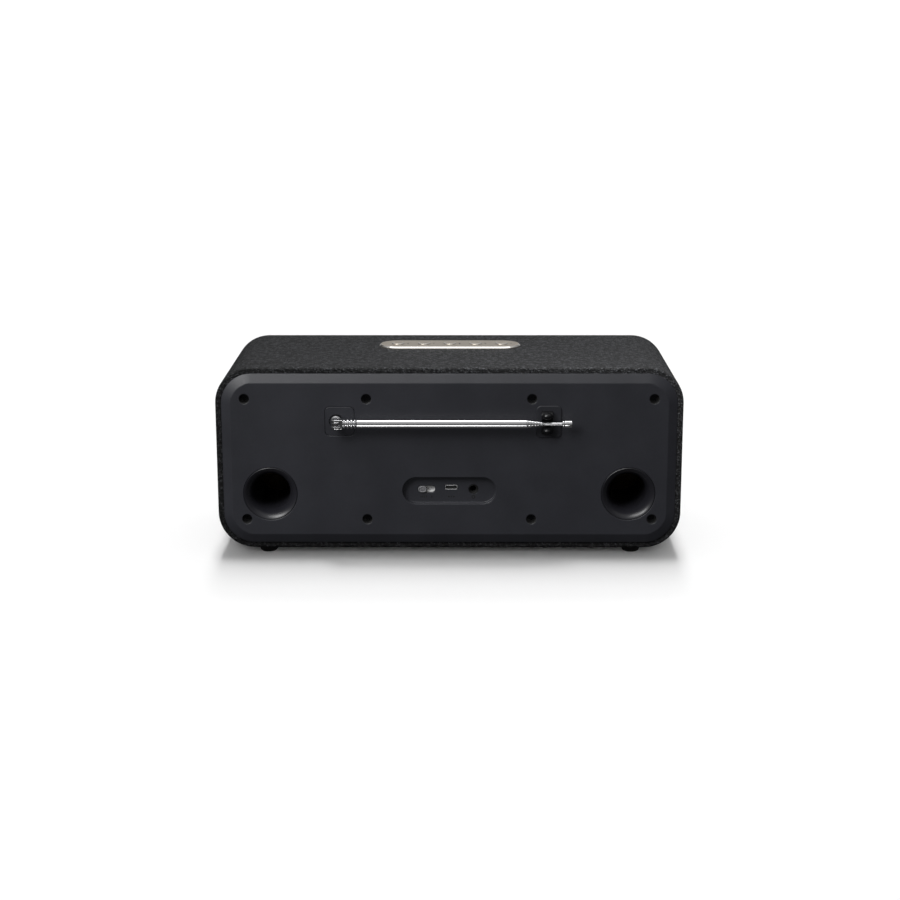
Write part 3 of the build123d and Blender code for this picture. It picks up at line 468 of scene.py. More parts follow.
class Shape:
    """A mesh on the bench, in millimetres, whose own z axis points out of the surface."""

    def __init__(self) -> None:
        """Starts empty."""
        self.bm = bmesh.new()

    def plate(
        self, width: float, height: float, corner: float, at: Sequence[float] = (0, 0, 0), steps: int = 8
    ) -> BMFace:
        """Adds a flat rounded rectangle that faces z.

        Args:
            width: its size along x.
            height: its size along y.
            corner: the radius of its corners.
            at: its centre.
            steps: how many sides each corner has.

        Returns:
            The face.
        """
        verts = bmesh.ops.create_grid(self.bm, x_segments=1, y_segments=1, size=0.5)["verts"]
        bmesh.ops.scale(self.bm, vec=(width, height, 1), verts=verts)
        bmesh.ops.translate(self.bm, vec=at, verts=verts)
        reach = min(corner, min(width, height) / 2 - 0.001)
        made = bmesh.ops.bevel(
            self.bm, geom=verts, offset=reach, segments=steps, profile=0.5, affect="VERTICES", material=-1
        )
        bmesh.ops.remove_doubles(self.bm, verts=made["verts"], dist=0.01)
        return next(vert for vert in made["verts"] if vert.is_valid).link_faces[0]

    def disc(self, radius: float, at: Sequence[float] = (0, 0, 0), steps: int = 48) -> BMFace:
        """Adds a flat disc that faces z, and returns its face."""
        made = bmesh.ops.create_circle(
            self.bm, cap_ends=True, radius=radius, segments=steps, matrix=Matrix.Translation(at)
        )
        return made["verts"][0].link_faces[0]

    def raised(self, face: BMFace, rise: float) -> BMFace:
        """Pulls a face out along z, or pushes it in, and returns the moved face."""
        joined = any(len(edge.link_faces) > 1 for edge in face.edges)
        made = bmesh.ops.extrude_face_region(self.bm, geom=[face])["geom"]
        moved = next(item for item in made if isinstance(item, BMFace))
        bmesh.ops.translate(self.bm, vec=(0, 0, rise), verts=moved.verts)
        if joined:
            self.opened(face)
        return moved

    def stepped(self, face: BMFace, margin: float, rise: float = 0.0) -> list[BMFace]:
        """Insets a face by margin and shifts what is left along z, and returns the ring between."""
        ring = bmesh.ops.inset_region(
            self.bm, faces=[face], thickness=margin, use_even_offset=True, use_boundary=True
        )["faces"]
        bmesh.ops.translate(self.bm, vec=(0, 0, rise), verts=face.verts)
        return ring

    def opened(self, *faces: BMFace) -> None:
        """Removes faces and leaves their edges."""
        bmesh.ops.delete(self.bm, geom=faces, context="FACES_ONLY")

    def pocket(self, face: BMFace, rim: float, depth: float, closed: bool = False) -> BMFace | None:
        """Sinks a hole in a loose face, with a flat rim around it.

        Args:
            face: the loose face, whose edge is later joined to the sheet around it.
            rim: the width of the rim.
            depth: the depth of the hole.
            closed: whether it has a floor.

        Returns:
            The floor, if it has one.
        """
        self.stepped(face, rim)
        floor = self.raised(face, -depth)
        if closed:
            return floor
        self.opened(floor)
        return None

    def fill(self, level: float) -> None:
        """Fills the flat area between the free edges at a level along z."""
        free = [
            edge
            for edge in self.bm.edges
            if len(edge.link_faces) < 2 and all(abs(vert.co.z - level) < 0.0005 for vert in edge.verts)
        ]
        bmesh.ops.triangle_fill(self.bm, edges=free, use_beauty=True, use_dissolve=False, normal=(0, 0, 1))

    def lathe(
        self, profile: Profile, at: Sequence[float] = (0, 0, 0), steps: int = 64, ring: bool = False
    ) -> list[BMVert]:
        """Turns a profile round an axis along z.

        Args:
            profile: the (radius, z) points.
            at: a point on the axis, which the profile's z is measured from.
            steps: how many sides it has.
            ring: whether the last point joins the first.

        Returns:
            The new vertices.
        """
        centre = Vector(at)
        before = set(self.bm.verts)
        verts = [self.bm.verts.new(centre + Vector((radius, 0, z))) for radius, z in profile]
        pairs = list(zip(verts, verts[1:])) + ([(verts[-1], verts[0])] if ring else [])
        edges = [self.bm.edges.new(pair) for pair in pairs]
        bmesh.ops.spin(
            self.bm, geom=verts + edges, cent=centre, axis=(0, 0, 1), angle=FULL_TURN, steps=steps,
            use_merge=True,
        )
        made = [vert for vert in self.bm.verts if vert not in before]
        bmesh.ops.remove_doubles(self.bm, verts=made, dist=0.0005)
        return [vert for vert in self.bm.verts if vert not in before]

    def block(self, size: Sequence[float], at: Sequence[float]) -> list[BMVert]:
        """Adds a box and returns its vertices."""
        verts = bmesh.ops.create_cube(self.bm, size=1.0)["verts"]
        bmesh.ops.scale(self.bm, vec=size, verts=verts)
        bmesh.ops.translate(self.bm, vec=at, verts=verts)
        return verts

    def soften(
        self, radius: float, edges: Iterable[BMEdge] | None = None, angle: float = 40.0, segments: int = 3
    ) -> list[BMFace]:
        """Rounds the edges that turn by more than an angle.

        Args:
            radius: the rounding's size.
            edges: which edges to try, or all of them.
            angle: the least turn, in degrees.
            segments: how many faces each rounding has.

        Returns:
            The roundings' faces.
        """
        self.bm.normal_update()
        chosen = [
            edge
            for edge in (self.bm.edges if edges is None else edges)
            if len(edge.link_faces) == 2 and edge.calc_face_angle(0.0) > math.radians(angle)
        ]
        return bmesh.ops.bevel(
            self.bm, geom=chosen, offset=radius, segments=segments, profile=0.5, affect="EDGES", material=-1,
            clamp_overlap=True,
        )["faces"]

    def edges_at(self, level: float, reach: float = 0.01) -> list[BMEdge]:
        """The edges that lie at a level along z."""
        return [e for e in self.bm.edges if all(abs(v.co.z - level) < reach for v in e.verts)]

    def turned(self, matrix: Matrix) -> None:
        """Turns or shifts everything made so far."""
        bmesh.ops.transform(self.bm, matrix=matrix, verts=self.bm.verts)

    def piece(
        self, name: str, finishes: Finish | Sequence[Finish], body: str, nodes: Sequence[str] = (),
        facing: Facing = Facing.TOP, origin: Sequence[float] = (0, 0, 0), wall: float = 0.0,
        sharp: float = 38.0,
    ) -> Object:
        """Makes the finished piece, and has it ride on its body.

        Args:
            name: the piece's name.
            finishes: its finish, or one for each material number on its faces.
            body: the body that it moves with.
            nodes: the CAD nodes that it stands for.
            facing: how its axes lie on the object.
            origin: where its own origin lies, in millimetres.
            wall: a thickness to give an open skin, inwards.
            sharp: the angle in degrees past which an edge stays crisp.

        Returns:
            The piece.
        """
        bm = self.bm
        bmesh.ops.remove_doubles(bm, verts=bm.verts, dist=0.0005)
        bmesh.ops.recalc_face_normals(bm, faces=bm.faces)
        if wall and sum(face.normal.z * face.calc_area() for face in bm.faces) < 0:
            bmesh.ops.reverse_faces(bm, faces=bm.faces)
        self.turned(Matrix.Scale(MM, 4) @ facing.matrix(Vector(origin)))
        mesh = bpy.data.meshes.new(name)
        bm.to_mesh(mesh)
        bm.free()
        mesh.shade_smooth()
        mesh.set_sharp_from_angle(angle=math.radians(sharp))
        finishes = [finishes] if isinstance(finishes, Finish) else list(finishes)
        for finish in finishes:
            mesh.materials.append(finish.material())
        piece = bpy.data.objects.new(name, mesh)
        bpy.context.scene.collection.objects.link(piece)
        if wall:
            skin = piece.modifiers.new("wall", "SOLIDIFY")
            skin.thickness = wall * MM
            skin.offset = -1.0
        even = piece.modifiers.new("even_shading", "WEIGHTED_NORMAL")
        even.keep_sharp = True
        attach(piece, body)
        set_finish(piece, finishes[0].slot)
        if nodes:
            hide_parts(*nodes)
        log.info("%s: %d faces, on %s", name, len(mesh.polygons), body)
        return piece


def only_verts(items: Iterable[object]) -> list[BMVert]:
    """Picks the vertices out of what an operator returns."""
    return [item for item in items if isinstance(item, BMVert)]


def paint(faces: Iterable[BMFace], number: int) -> None:
    """Gives faces the finish with that number."""
    for face in faces:
        if face.is_valid:
            face.material_index = number


# ------------------------------------------------------------------ cabinet
@dataclass
class Cabinet:
    """The leatherette skin, turned over both ends of the wooden sleeve, and the four feet."""

    corner: float = 23.5
    rim_roll: float = 1.4
    turned_in: float = 9.8
    skin: float = 0.8
    opening: tuple[float, float] = (89.3, 19.9)
    foot_base_r: float = 5.2
    foot_top_r: float = 7.6
    foot_well_r: float = 3.05
    foot_hole_r: float = 1.5
    foot_well_depth: float = 3.5

    def build(self) -> None:
        """Builds the skin and the feet."""
        self.wrap()
        self.feet()

    def wrap(self) -> None:
        """The skin, with the button strip's opening in its top."""
        box = Box("leatherette_wrap")
        strip = Box("top_panel").centre
        shape = Shape()
        rear = shape.plate(box.size.x, box.size.z, self.corner, steps=20)
        front = shape.raised(rear, -box.size.y)
        for face in (rear, front):
            shape.stepped(face, self.turned_in)
        shape.opened(rear, front)
        for level in (0.0, -box.size.y):
            shape.soften(self.rim_roll, shape.edges_at(level), segments=6)
        half = box.size.z / 2
        lid = next(face for face in shape.bm.faces if face.calc_center_median().y > half - 0.01)
        shape.opened(lid)
        shape.turned(Matrix.Rotation(math.pi / 2, 4, "X"))
        hole = shape.plate(*self.opening, min(self.opening) / 2, (0, box.high.y - strip.y, half), 16)
        shape.opened(hole)
        shape.fill(half)
        shape.turned(Matrix.Rotation(-math.pi / 2, 4, "X"))
        shape.piece(
            "leatherette_wrap", LEATHERETTE, "cabinet", ["leatherette_wrap"], Facing.REAR,
            (box.centre.x, box.high.y, box.centre.z), self.skin,
        )

    def feet(self) -> None:
        """Tapered rubber plugs with a rounded base, each with a well for its screw."""
        box = Box("feet")
        height = box.size.z
        reach = box.size / 2 - Vector((self.foot_top_r, self.foot_top_r, 0))
        profile = [
            (self.foot_hole_r, self.foot_well_depth), (self.foot_well_r, self.foot_well_depth),
            (self.foot_well_r, 0), (self.foot_base_r, 0), (self.foot_top_r, height),
            (self.foot_hole_r, height),
        ]
        shape = Shape()
        for side in (-1, 1):
            for end in (-1, 1):
                shape.lathe(profile, (side * reach.x, end * reach.y, 0), 48, ring=True)
        shape.soften(1.0, shape.edges_at(0.0), segments=5)
        shape.piece("feet", FOOT_RUBBER, "cabinet", ["feet"], origin=(box.centre.x, box.centre.y, 0))


# ------------------------------------------------------------------ back
@dataclass
class RearPanel:
    """The moulded back: a sloping edge, eight screw wells, port holes, socket recess and aerial seat."""

    corner: float = 19.6
    edge: float = 0.5
    slope: float = 5.9
    rise: float = 2.3
    wall: float = 1.8
    crisp: float = 0.3
    well_r: float = 3.15
    well_depth: float = 10.8
    recess: tuple[float, float] = (60.3, 17.6)
    recess_z: float = 46.1
    recess_depth: float = 4.0
    slot: tuple[float, float] = (11.2, 4.5)
    slot_x: float = 14.8
    jack_hole_r: float = 3.15
    seat: float = 18.9
    seat_corner: float = 3.0

    def build(self) -> None:
        """Builds the panel, then the square seat round the aerial's hole."""
        box = Box("rear_panel")
        self.level = box.high.y
        self.middle = box.centre.z
        self.panel(box)
        self.seat_plate()
        self.marks()

    def panel(self, box: Box) -> None:
        """The panel, as one skin with a wall behind it."""
        shape = Shape()
        width, height = box.size.x, box.size.z
        face = shape.plate(width, height, self.corner, (0, 0, -self.rise), 20)
        rim = [edge for edge in face.edges]
        drop = bmesh.ops.extrude_edge_only(shape.bm, edges=rim)["geom"]
        bmesh.ops.translate(
            shape.bm, vec=(0, 0, -self.edge), verts=only_verts(drop)
        )
        shape.stepped(face, self.slope, self.rise)
        shape.stepped(face, 0.8)
        shape.opened(face)
        self.holes(shape)
        shape.fill(0.0)
        outer = [e for e in shape.bm.edges if max(abs(v.co.x) for v in e.verts) > width / 2 - 6.3
                 or max(abs(v.co.y) for v in e.verts) > height / 2 - 6.3]
        shape.soften(self.crisp, outer, angle=12, segments=3)
        shape.soften(0.35, shape.edges_at(0.0), segments=4)
        shape.soften(0.35, shape.edges_at(-self.recess_depth), segments=3)
        shape.piece(
            "rear_panel", [REAR_PLASTIC, WELL_SHADE], "cabinet", ["rear_panel"], Facing.REAR,
            (0, self.level, self.middle), self.wall,
        )

    def holes(self, shape: Shape) -> None:
        """Adds the wells and openings to the panel's skin."""
        screws = Box("rear_screws")
        head_r = 2.8
        low, high = (z + sign * head_r - self.middle for z, sign in ((screws.low.z, 1), (screws.high.z, -1)))
        for x in (screws.low.x + head_r, -53.0, 53.0, screws.high.x - head_r):
            for z in (low, high):
                mouth = shape.disc(self.well_r + 0.9, (-x, z, 0), 40)
                floor = shape.pocket(mouth, 0.9, self.well_depth, closed=True)
                # The well's floor and walls get the near-black painted shade finish.
                paint({face for vert in floor.verts for face in vert.link_faces}, 1)
        for side in ("left", "right"):
            port = Box(f"reflex_port_{side}")
            place = (-port.centre.x, port.centre.z - self.middle, 0)
            radius = port.size.x / 2 - 0.5
            shape.pocket(shape.disc(radius + 0.9, place, 96), 0.9, self.rise + self.edge)
        seat = Box("antenna_seat").centre
        square = shape.plate(
            self.seat + 1.2, self.seat + 1.2, self.seat_corner + 0.6, (-seat.x, seat.z - self.middle, 0), 10
        )
        shape.pocket(square, 0.6, 2.0)
        rim = 0.9
        width, height = self.recess
        place = (0, self.recess_z - self.middle, 0)
        basin = shape.plate(width + 2 * rim, height + 2 * rim, height / 2 + rim, place, 20)
        floor = shape.pocket(basin, rim, self.recess_depth, closed=True)
        shape.stepped(floor, 0.8)
        shape.opened(floor)
        level = -self.recess_depth
        usb, jack = Box("usb_socket"), Box("audio_jack").centre
        usb_z = usb.high.z - 1.45 - self.middle
        slot = shape.plate(self.slot[0] + 0.6, self.slot[1] + 0.6, 2.5, (-self.slot_x, place[1], level), 10)
        mouth = shape.plate(8.3 + 0.6, 3.2 + 0.6, 1.35, (-usb.centre.x, usb_z, level), 6)
        bore = shape.disc(self.jack_hole_r + 0.3, (-jack.x, jack.z - self.middle, level), 40)
        for opening in (slot, mouth, bore):
            shape.pocket(opening, 0.3, 1.8)
        shape.fill(level)

    def seat_plate(self) -> None:
        """The square insert, with the hole that the aerial's round base turns in."""
        box = Box("antenna_seat")
        hole = Box("antenna_base").centre
        shape = Shape()
        face = shape.plate(box.size.x, box.size.z, self.seat_corner, steps=10)
        top = shape.raised(face, box.size.y)
        shape.stepped(top, 0.5)
        shape.opened(top)
        ring = shape.disc(5.0, (box.centre.x - hole.x, 0, box.size.y), 48)
        shape.pocket(ring, 0.4, box.size.y - 0.2, closed=True)
        shape.fill(box.size.y)
        shape.soften(0.2)
        shape.piece(
            "antenna_seat", REAR_PLASTIC, "cabinet", ["antenna_seat"], Facing.REAR,
            (box.centre.x, box.low.y, box.centre.z),
        )

    def marks(self) -> None:
        """Small printed signs under the sockets: bars, dots and a ring, with no lettering."""
        height = self.recess_z - self.middle - 5.0
        shape = Shape()
        for x in (-3.6, -2.4, -1.2, 0.0, 3.4):
            shape.raised(shape.plate(0.55, 1.3, 0.2, (x - self.slot_x, height, 0), 3), 0.03)
        usb, jack = Box("usb_socket").centre, Box("audio_jack").centre
        for x, width in ((-1.6, 0.9), (0.0, 0.6), (1.6, 0.9)):
            shape.raised(shape.plate(width, 0.9, 0.3, (x - usb.x, height, 0), 3), 0.03)
        shape.lathe([(0.7, 0), (1.2, 0), (1.2, 0.03), (0.7, 0.03)], (-jack.x, height - 0.2, 0), 24, ring=True)
        place = (0, self.level - self.recess_depth, self.middle)
        shape.piece("socket_marks", JACK_PLASTIC, "cabinet", (), Facing.REAR, place)


@dataclass
class ReflexPorts:
    """Two flared tubes behind the panel's round holes."""

    throat_r: float = 12.0
    wall: float = 2.0
    flare_depth: float = 9.0

    def build(self) -> None:
        """Builds both ports."""
        for side in ("left", "right"):
            node = f"reflex_port_{side}"
            box = Box(node)
            lip = box.size.x / 2 - 0.65
            flange = lip + 0.65
            depth, inner, outer = -box.size.y, self.throat_r, self.throat_r + self.wall
            swell = lip - inner
            profile = [
                (inner, depth), (inner, -self.flare_depth), (inner + swell * 0.06, -6.2),
                (inner + swell * 0.2, -3.7), (inner + swell * 0.42, -1.75), (inner + swell * 0.68, -0.55),
                (inner + swell * 0.87, -0.1), (lip - 0.35, 0), (lip, -0.3), (lip, -2.8), (flange, -2.8),
                (flange, -4.3), (outer + 2.5, -4.3), (outer, -8.0), (outer, depth),
            ]
            shape = Shape()
            shape.lathe(profile, steps=96, ring=True)
            shape.piece(
                node, PORT_PLASTIC, "cabinet", [node], Facing.REAR, (box.centre.x, box.high.y, box.centre.z)
            )


@dataclass
class Sockets:
    """What shows in the recess: the USB shell, the headphone socket and the sliding switch."""

    usb: tuple[float, float] = (8.0, 2.9)
    usb_corner: float = 0.9
    usb_wall: float = 0.35
    bore_r: float = 1.8
    nose_r: float = 3.0
    rib_pitch: float = 0.9

    def build(self) -> None:
        """Builds the three of them."""
        self.usb_shell()
        self.jack()
        self.knob()

    def usb_shell(self) -> None:
        """A folded steel shell round a black tongue."""
        box = Box("usb_socket")
        depth = box.size.y
        width, height = self.usb
        centre = box.high.z - height / 2
        shape = Shape()
        mouth = shape.raised(shape.plate(width, height, self.usb_corner, (0, 0, -depth), 6), depth)
        floor = shape.pocket(mouth, self.usb_wall, depth - 1, closed=True)
        paint({face for vert in floor.verts for face in vert.link_faces}, 1)
        shape.soften(0.08, shape.edges_at(0.0), segments=2)
        riser = shape.block((6, 4.5, depth - 2.4), (0, -height / 2 - 1.9, -depth / 2 - 1.2))
        tongue = shape.block((3.8, 0.6, depth - 1.6), (0, 0.2, -depth / 2 - 0.2))
        paint({face for vert in (*riser, *tongue) for face in vert.link_faces}, 1)
        shape.piece(
            "usb_socket", [BRIGHT_STEEL, JACK_PLASTIC], "cabinet", ["usb_socket"], Facing.REAR,
            (box.centre.x, box.high.y, centre),
        )

    def jack(self) -> None:
        """A round nose on a square body."""
        box = Box("audio_jack")
        depth = box.size.y
        shape = Shape()
        shape.lathe(
            [(0, 0.6 - depth), (self.bore_r, 0.6 - depth), (self.bore_r, -1.6), (self.nose_r - 0.3, -0.2),
             (self.nose_r - 0.15, 0), (self.nose_r, -0.12), (self.nose_r, -2.2), (self.nose_r + 0.4, -2.2),
             (self.nose_r + 0.4, -depth), (0, -depth)],
            steps=48,
        )
        shape.piece(
            "audio_jack", JACK_PLASTIC, "cabinet", ["audio_jack"], Facing.REAR,
            (box.centre.x, box.high.y, box.centre.z),
        )

    def knob(self) -> None:
        """The switch's ribbed knob, at the end of its slot."""
        box = Box("power_switch_knob")
        depth = box.size.y
        shape = Shape()
        top = shape.raised(shape.plate(box.size.x, box.size.z, 1.9, (0, 0, -depth), 8), depth - 0.25)
        shape.stepped(top, 0.3, 0.25)
        shape.stepped(top, 0.3)
        shape.stepped(top, 0.15, -0.45)
        for number in range(-1, 2):
            shape.block((0.5, box.size.z - 1.8, 0.45), (number * self.rib_pitch, 0, -0.35))
        shape.soften(0.08, segments=2)
        shape.piece(
            "power_switch_knob", SWITCH_PLASTIC, "power_switch_knob", ["power_switch_knob"], Facing.REAR,
            (box.centre.x, box.high.y, box.centre.z),
        )


# ------------------------------------------------------------------ aerial
@dataclass
class Aerial:
    """The telescopic aerial: turning base, forked elbow, tube, five stages, rod and cap, in its clip."""

    head_r: float = 3.95
    head_rise: float = 2.2
    tongue_r: float = 2.9
    tongue_thickness: float = 2.3
    fork_half: float = 3.1
    collar_r: float = 3.1
    collar_length: float = 9.1
    tube_wall: float = 0.25
    stage_wall: float = 0.22
    stages: int = 5
    clip_plate: tuple[float, float] = (16.0, 20.8)
    clip_corner: float = 3.0
    clip_mouth: float = 5.44
    clip_lip: float = -1.0
    clip_ball: tuple[float, float, float] = (3.4, 3.2, 2.35)
    clip_ball_at: tuple[float, float] = (-1.2, 4.85)

    def build(self) -> None:
        """Builds the aerial from its base to its cap, then the clip."""
        base, elbow = Box("antenna_base"), Box("antenna_elbow")
        pin = Box("antenna_pin").centre
        self.pivot = pin
        self.panel = Box("rear_panel").high.y
        self.base(base)
        self.elbow(elbow)
        self.tube()
        for number in range(1, self.stages + 1):
            self.stage(number)
        self.tip()
        self.clip()

    def base(self, box: Box) -> None:
        """The round head that turns in the seat, and its tongue."""
        x, y, z = self.pivot
        shape = Shape()
        head = self.panel + self.head_rise
        low = box.low.y - y
        crown = head - y
        floor = self.panel - 1.8 - y
        shape.lathe(
            [(0, low), (3.0, low), (3.0, floor), (self.head_r, floor), (self.head_r, crown - 0.9),
             (self.head_r - 0.35, crown - 0.3), (self.head_r - 1.0, crown), (0, crown + 0.1)],
            steps=64,
        )
        shape.turned(Matrix.Rotation(-math.pi / 2, 4, "X"))
        length = y - head + 1 + self.tongue_r
        verts = set(shape.bm.verts)
        face = shape.plate(
            2 * self.tongue_r, length, self.tongue_r,
            (0, self.tongue_r - length / 2, -self.tongue_thickness / 2), 12,
        )
        shape.raised(face, self.tongue_thickness)
        fresh = {edge for vert in shape.bm.verts if vert not in verts for edge in vert.link_edges}
        shape.soften(0.3, fresh)
        shape.piece("antenna_base", AERIAL_CHROME, "antenna_swivel", ["antenna_base"], Facing.TOP, (x, y, z))

    def elbow(self, box: Box) -> None:
        """The fork that straddles the tongue, its pin, and the ringed collar that holds the tube."""
        x, y, z = self.pivot
        shape = Shape()
        inside = self.tongue_thickness / 2 + 0.05
        length = box.high.x - (x - 4.6)
        centre = box.high.x - x - length / 2
        for low, thickness in ((inside, self.fork_half - inside), (-self.fork_half, self.fork_half - inside)):
            shape.raised(shape.plate(length, 2 * self.tongue_r, 2.6, (centre, 0, low), 10), thickness)
        shape.block((1.9, 2 * self.tongue_r - 0.1, 2 * self.fork_half - 0.1), (-3.75, 0, 0))
        shape.soften(0.45)
        shape.lathe(
            [(0, self.fork_half + 0.1), (0.75, self.fork_half + 0.1), (1.0, self.fork_half - 0.05),
             (1.0, 0.05 - self.fork_half), (0.75, -self.fork_half - 0.1), (0, -self.fork_half - 0.1)],
            steps=32,
        )
        shape.turned(Matrix(Facing.ALONG.value).to_4x4())
        start, end = 4.4, 4.6 + self.collar_length
        ridge, groove = self.collar_r, self.collar_r - 0.85
        profile = [(0, start), (groove, start), (groove, start + 0.5)]
        mark = start + 0.5
        for width in (1.5, 1.9, 1.9, 1.5):
            far = mark + width
            profile += [(ridge - 0.4, mark), (ridge - 0.12, mark + 0.25), (ridge, mark + 0.6),
                        (ridge, far - 0.6), (ridge - 0.12, far - 0.25), (ridge - 0.4, far), (groove, far + 0.05),
                        (groove, mark + width + 0.45)]
            mark += width + 0.5
        profile = [point for point in profile if point[1] < end - 0.3]
        profile += [(ridge - 0.1, end - 0.3), (ridge - 0.35, end), (2.5, end), (2.5, end + 4), (0, end + 4)]
        shape.lathe(profile, steps=64)
        shape.piece(
            "antenna_elbow", AERIAL_CHROME, "antenna_mast", ["antenna_elbow", "antenna_pin"], Facing.ALONG,
            (x, y, z),
        )

    def hollow_tube(self, name: str, body: str, wall: float, bead: float) -> None:
        """A drawn tube whose far end is rolled in.

        Args:
            name: the CAD node that it stands for.
            body: the body that it moves with.
            wall: its thickness.
            bead: how far the rolled end turns in.
        """
        box = Box(name)
        radius, length = box.size.z / 2, box.size.x
        profile = [
            (radius - wall, 0), (radius, 0), (radius, length - 1.5), (radius - 0.12, length - 1.35),
            (radius - 0.12, length - 1.1), (radius, length - 0.95), (radius, length - 0.75),
            (radius - bead * 0.3, length - 0.3),
            (radius - bead * 0.75, length - 0.05), (radius - bead, length),
            (radius - bead - 0.12, length - 0.2),
            (radius - wall, length - 0.8),
        ]
        shape = Shape()
        shape.lathe(profile, steps=64, ring=True)
        shape.piece(name, AERIAL_CHROME, body, [name], Facing.ALONG, (box.high.x, box.centre.y, box.centre.z))

    def tube(self) -> None:
        """The outer tube."""
        self.hollow_tube("antenna_tube", "antenna_mast", self.tube_wall, 0.24)

    def stage(self, number: int) -> None:
        """One of the sliding stages."""
        self.hollow_tube(f"antenna_stage_{number}", f"antenna_stage_{number}", self.stage_wall, 0.2)

    def tip(self) -> None:
        """The solid rod, and the cap on its end."""
        rod, cap = Box("antenna_rod"), Box("antenna_cap")
        radius, length = rod.size.z / 2, rod.size.x
        shape = Shape()
        shape.lathe([(0, 0), (radius - 0.2, 0), (radius, 0.3), (radius, length), (0, length)], steps=32)
        shape.piece(
            "antenna_rod", AERIAL_CHROME, "antenna_tip", ["antenna_rod"], Facing.ALONG,
            (rod.high.x, rod.centre.y, rod.centre.z),
        )
        radius, length = cap.size.z / 2, cap.size.x
        shape = Shape()
        shape.lathe(
            [(0, 0.35), (radius * 0.55, 0.1), (radius - 0.5, 0), (radius - 0.12, 0.15), (radius, 0.55),
             (radius, 1.3), (radius - 0.14, 1.5), (radius - 0.14, 1.75), (radius, 1.95),
             (radius, length - 0.7),
             (radius - 0.15, length - 0.25), (radius - 0.6, length), (0, length + 0.05)],
            steps=64,
        )
        shape.piece(
            "antenna_cap", AERIAL_CHROME, "antenna_tip", ["antenna_cap"], Facing.ALONG,
            (cap.high.x, cap.centre.y, cap.centre.z),
        )

    def clip(self) -> None:
        """The plate on the panel, and the two jaws that hold the folded aerial."""
        box = Box("antenna_clip")
        y, z = self.pivot.y, self.pivot.z
        width, height = self.clip_plate
        shape = Shape()
        low = box.low.y - y
        face = shape.plate(width, height, self.clip_corner, (box.centre.x, 0, 0), 10)
        shape.stepped(shape.raised(face, 1.0), 0.5, 0.2)
        shape.turned(Matrix(Facing.REAR.value).transposed().to_4x4() @ Matrix.Scale(-1, 4, RIGHT))
        bmesh.ops.translate(shape.bm, vec=(0, low, 0), verts=shape.bm.verts)
        shape.soften(0.25)
        paint(shape.bm.faces, 1)
        self.jaws(shape, low + 0.2, -62.4)
        finishes = [CLIP_PLASTIC, REAR_PLASTIC]
        shape.piece("antenna_clip", finishes, "cabinet", ["antenna_clip"], Facing.TOP, (0, y, z))

    def jaws(self, shape: Shape, low: float, x: float) -> None:
        """Adds the grooved block, drawn out along the aerial, and a rounded jaw on either side of the groove.

        Args:
            shape: the clip's shape, whose origin is on the aerial's axis.
            low: where the block meets the plate.
            x: the block's middle along the aerial.
        """
        bm = shape.bm
        width, half = 7.1, 7.3
        mouth, lip = self.clip_mouth / 2, self.clip_lip
        known = set(bm.verts)
        start = bm.verts.new((x - width / 2, lip, mouth))
        sweep = FULL_TURN - 2 * math.atan2(mouth, lip)
        bmesh.ops.spin(bm, geom=[start], cent=(x, 0, 0), axis=(1, 0, 0), angle=sweep, steps=28)
        arc = [vert for vert in bm.verts if vert not in known]
        end = min(arc, key=lambda vert: (vert.co - Vector((x - width / 2, lip, -mouth))).length)
        outline = ((lip, -half), (low, -half), (low, half), (lip, half))
        corners = [bm.verts.new((x - width / 2, y, z)) for y, z in outline]
        chain = [end, *corners, start]
        for pair in zip(chain, chain[1:]):
            bm.edges.new(pair)
        fresh = {edge for vert in (*arc, *corners) for edge in vert.link_edges}
        bmesh.ops.contextual_create(bm, geom=list(fresh))
        outer = [corners[0], corners[3]]
        bmesh.ops.bevel(bm, geom=outer, offset=3.9, segments=9, profile=0.5, affect="VERTICES", material=-1)
        side = corners[1].link_faces[0]
        made = bmesh.ops.extrude_face_region(bm, geom=[side])["geom"]
        moved = only_verts(made)
        bmesh.ops.translate(bm, vec=(width, 0, 0), verts=moved)
        bm.normal_update()
        flat = {edge for face in bm.faces if abs(face.normal.x) > 0.9 for edge in face.edges}
        shape.soften(0.9, flat, segments=5)
        rise, apart = self.clip_ball_at
        for side, share in ((1, 1.0), (-1, 0.8)):
            ball = bmesh.ops.create_uvsphere(bm, u_segments=40, v_segments=24, radius=1.0)["verts"]
            bmesh.ops.scale(bm, vec=Vector(self.clip_ball) * share, verts=ball)
            bmesh.ops.translate(bm, vec=(x, rise, side * apart), verts=ball)


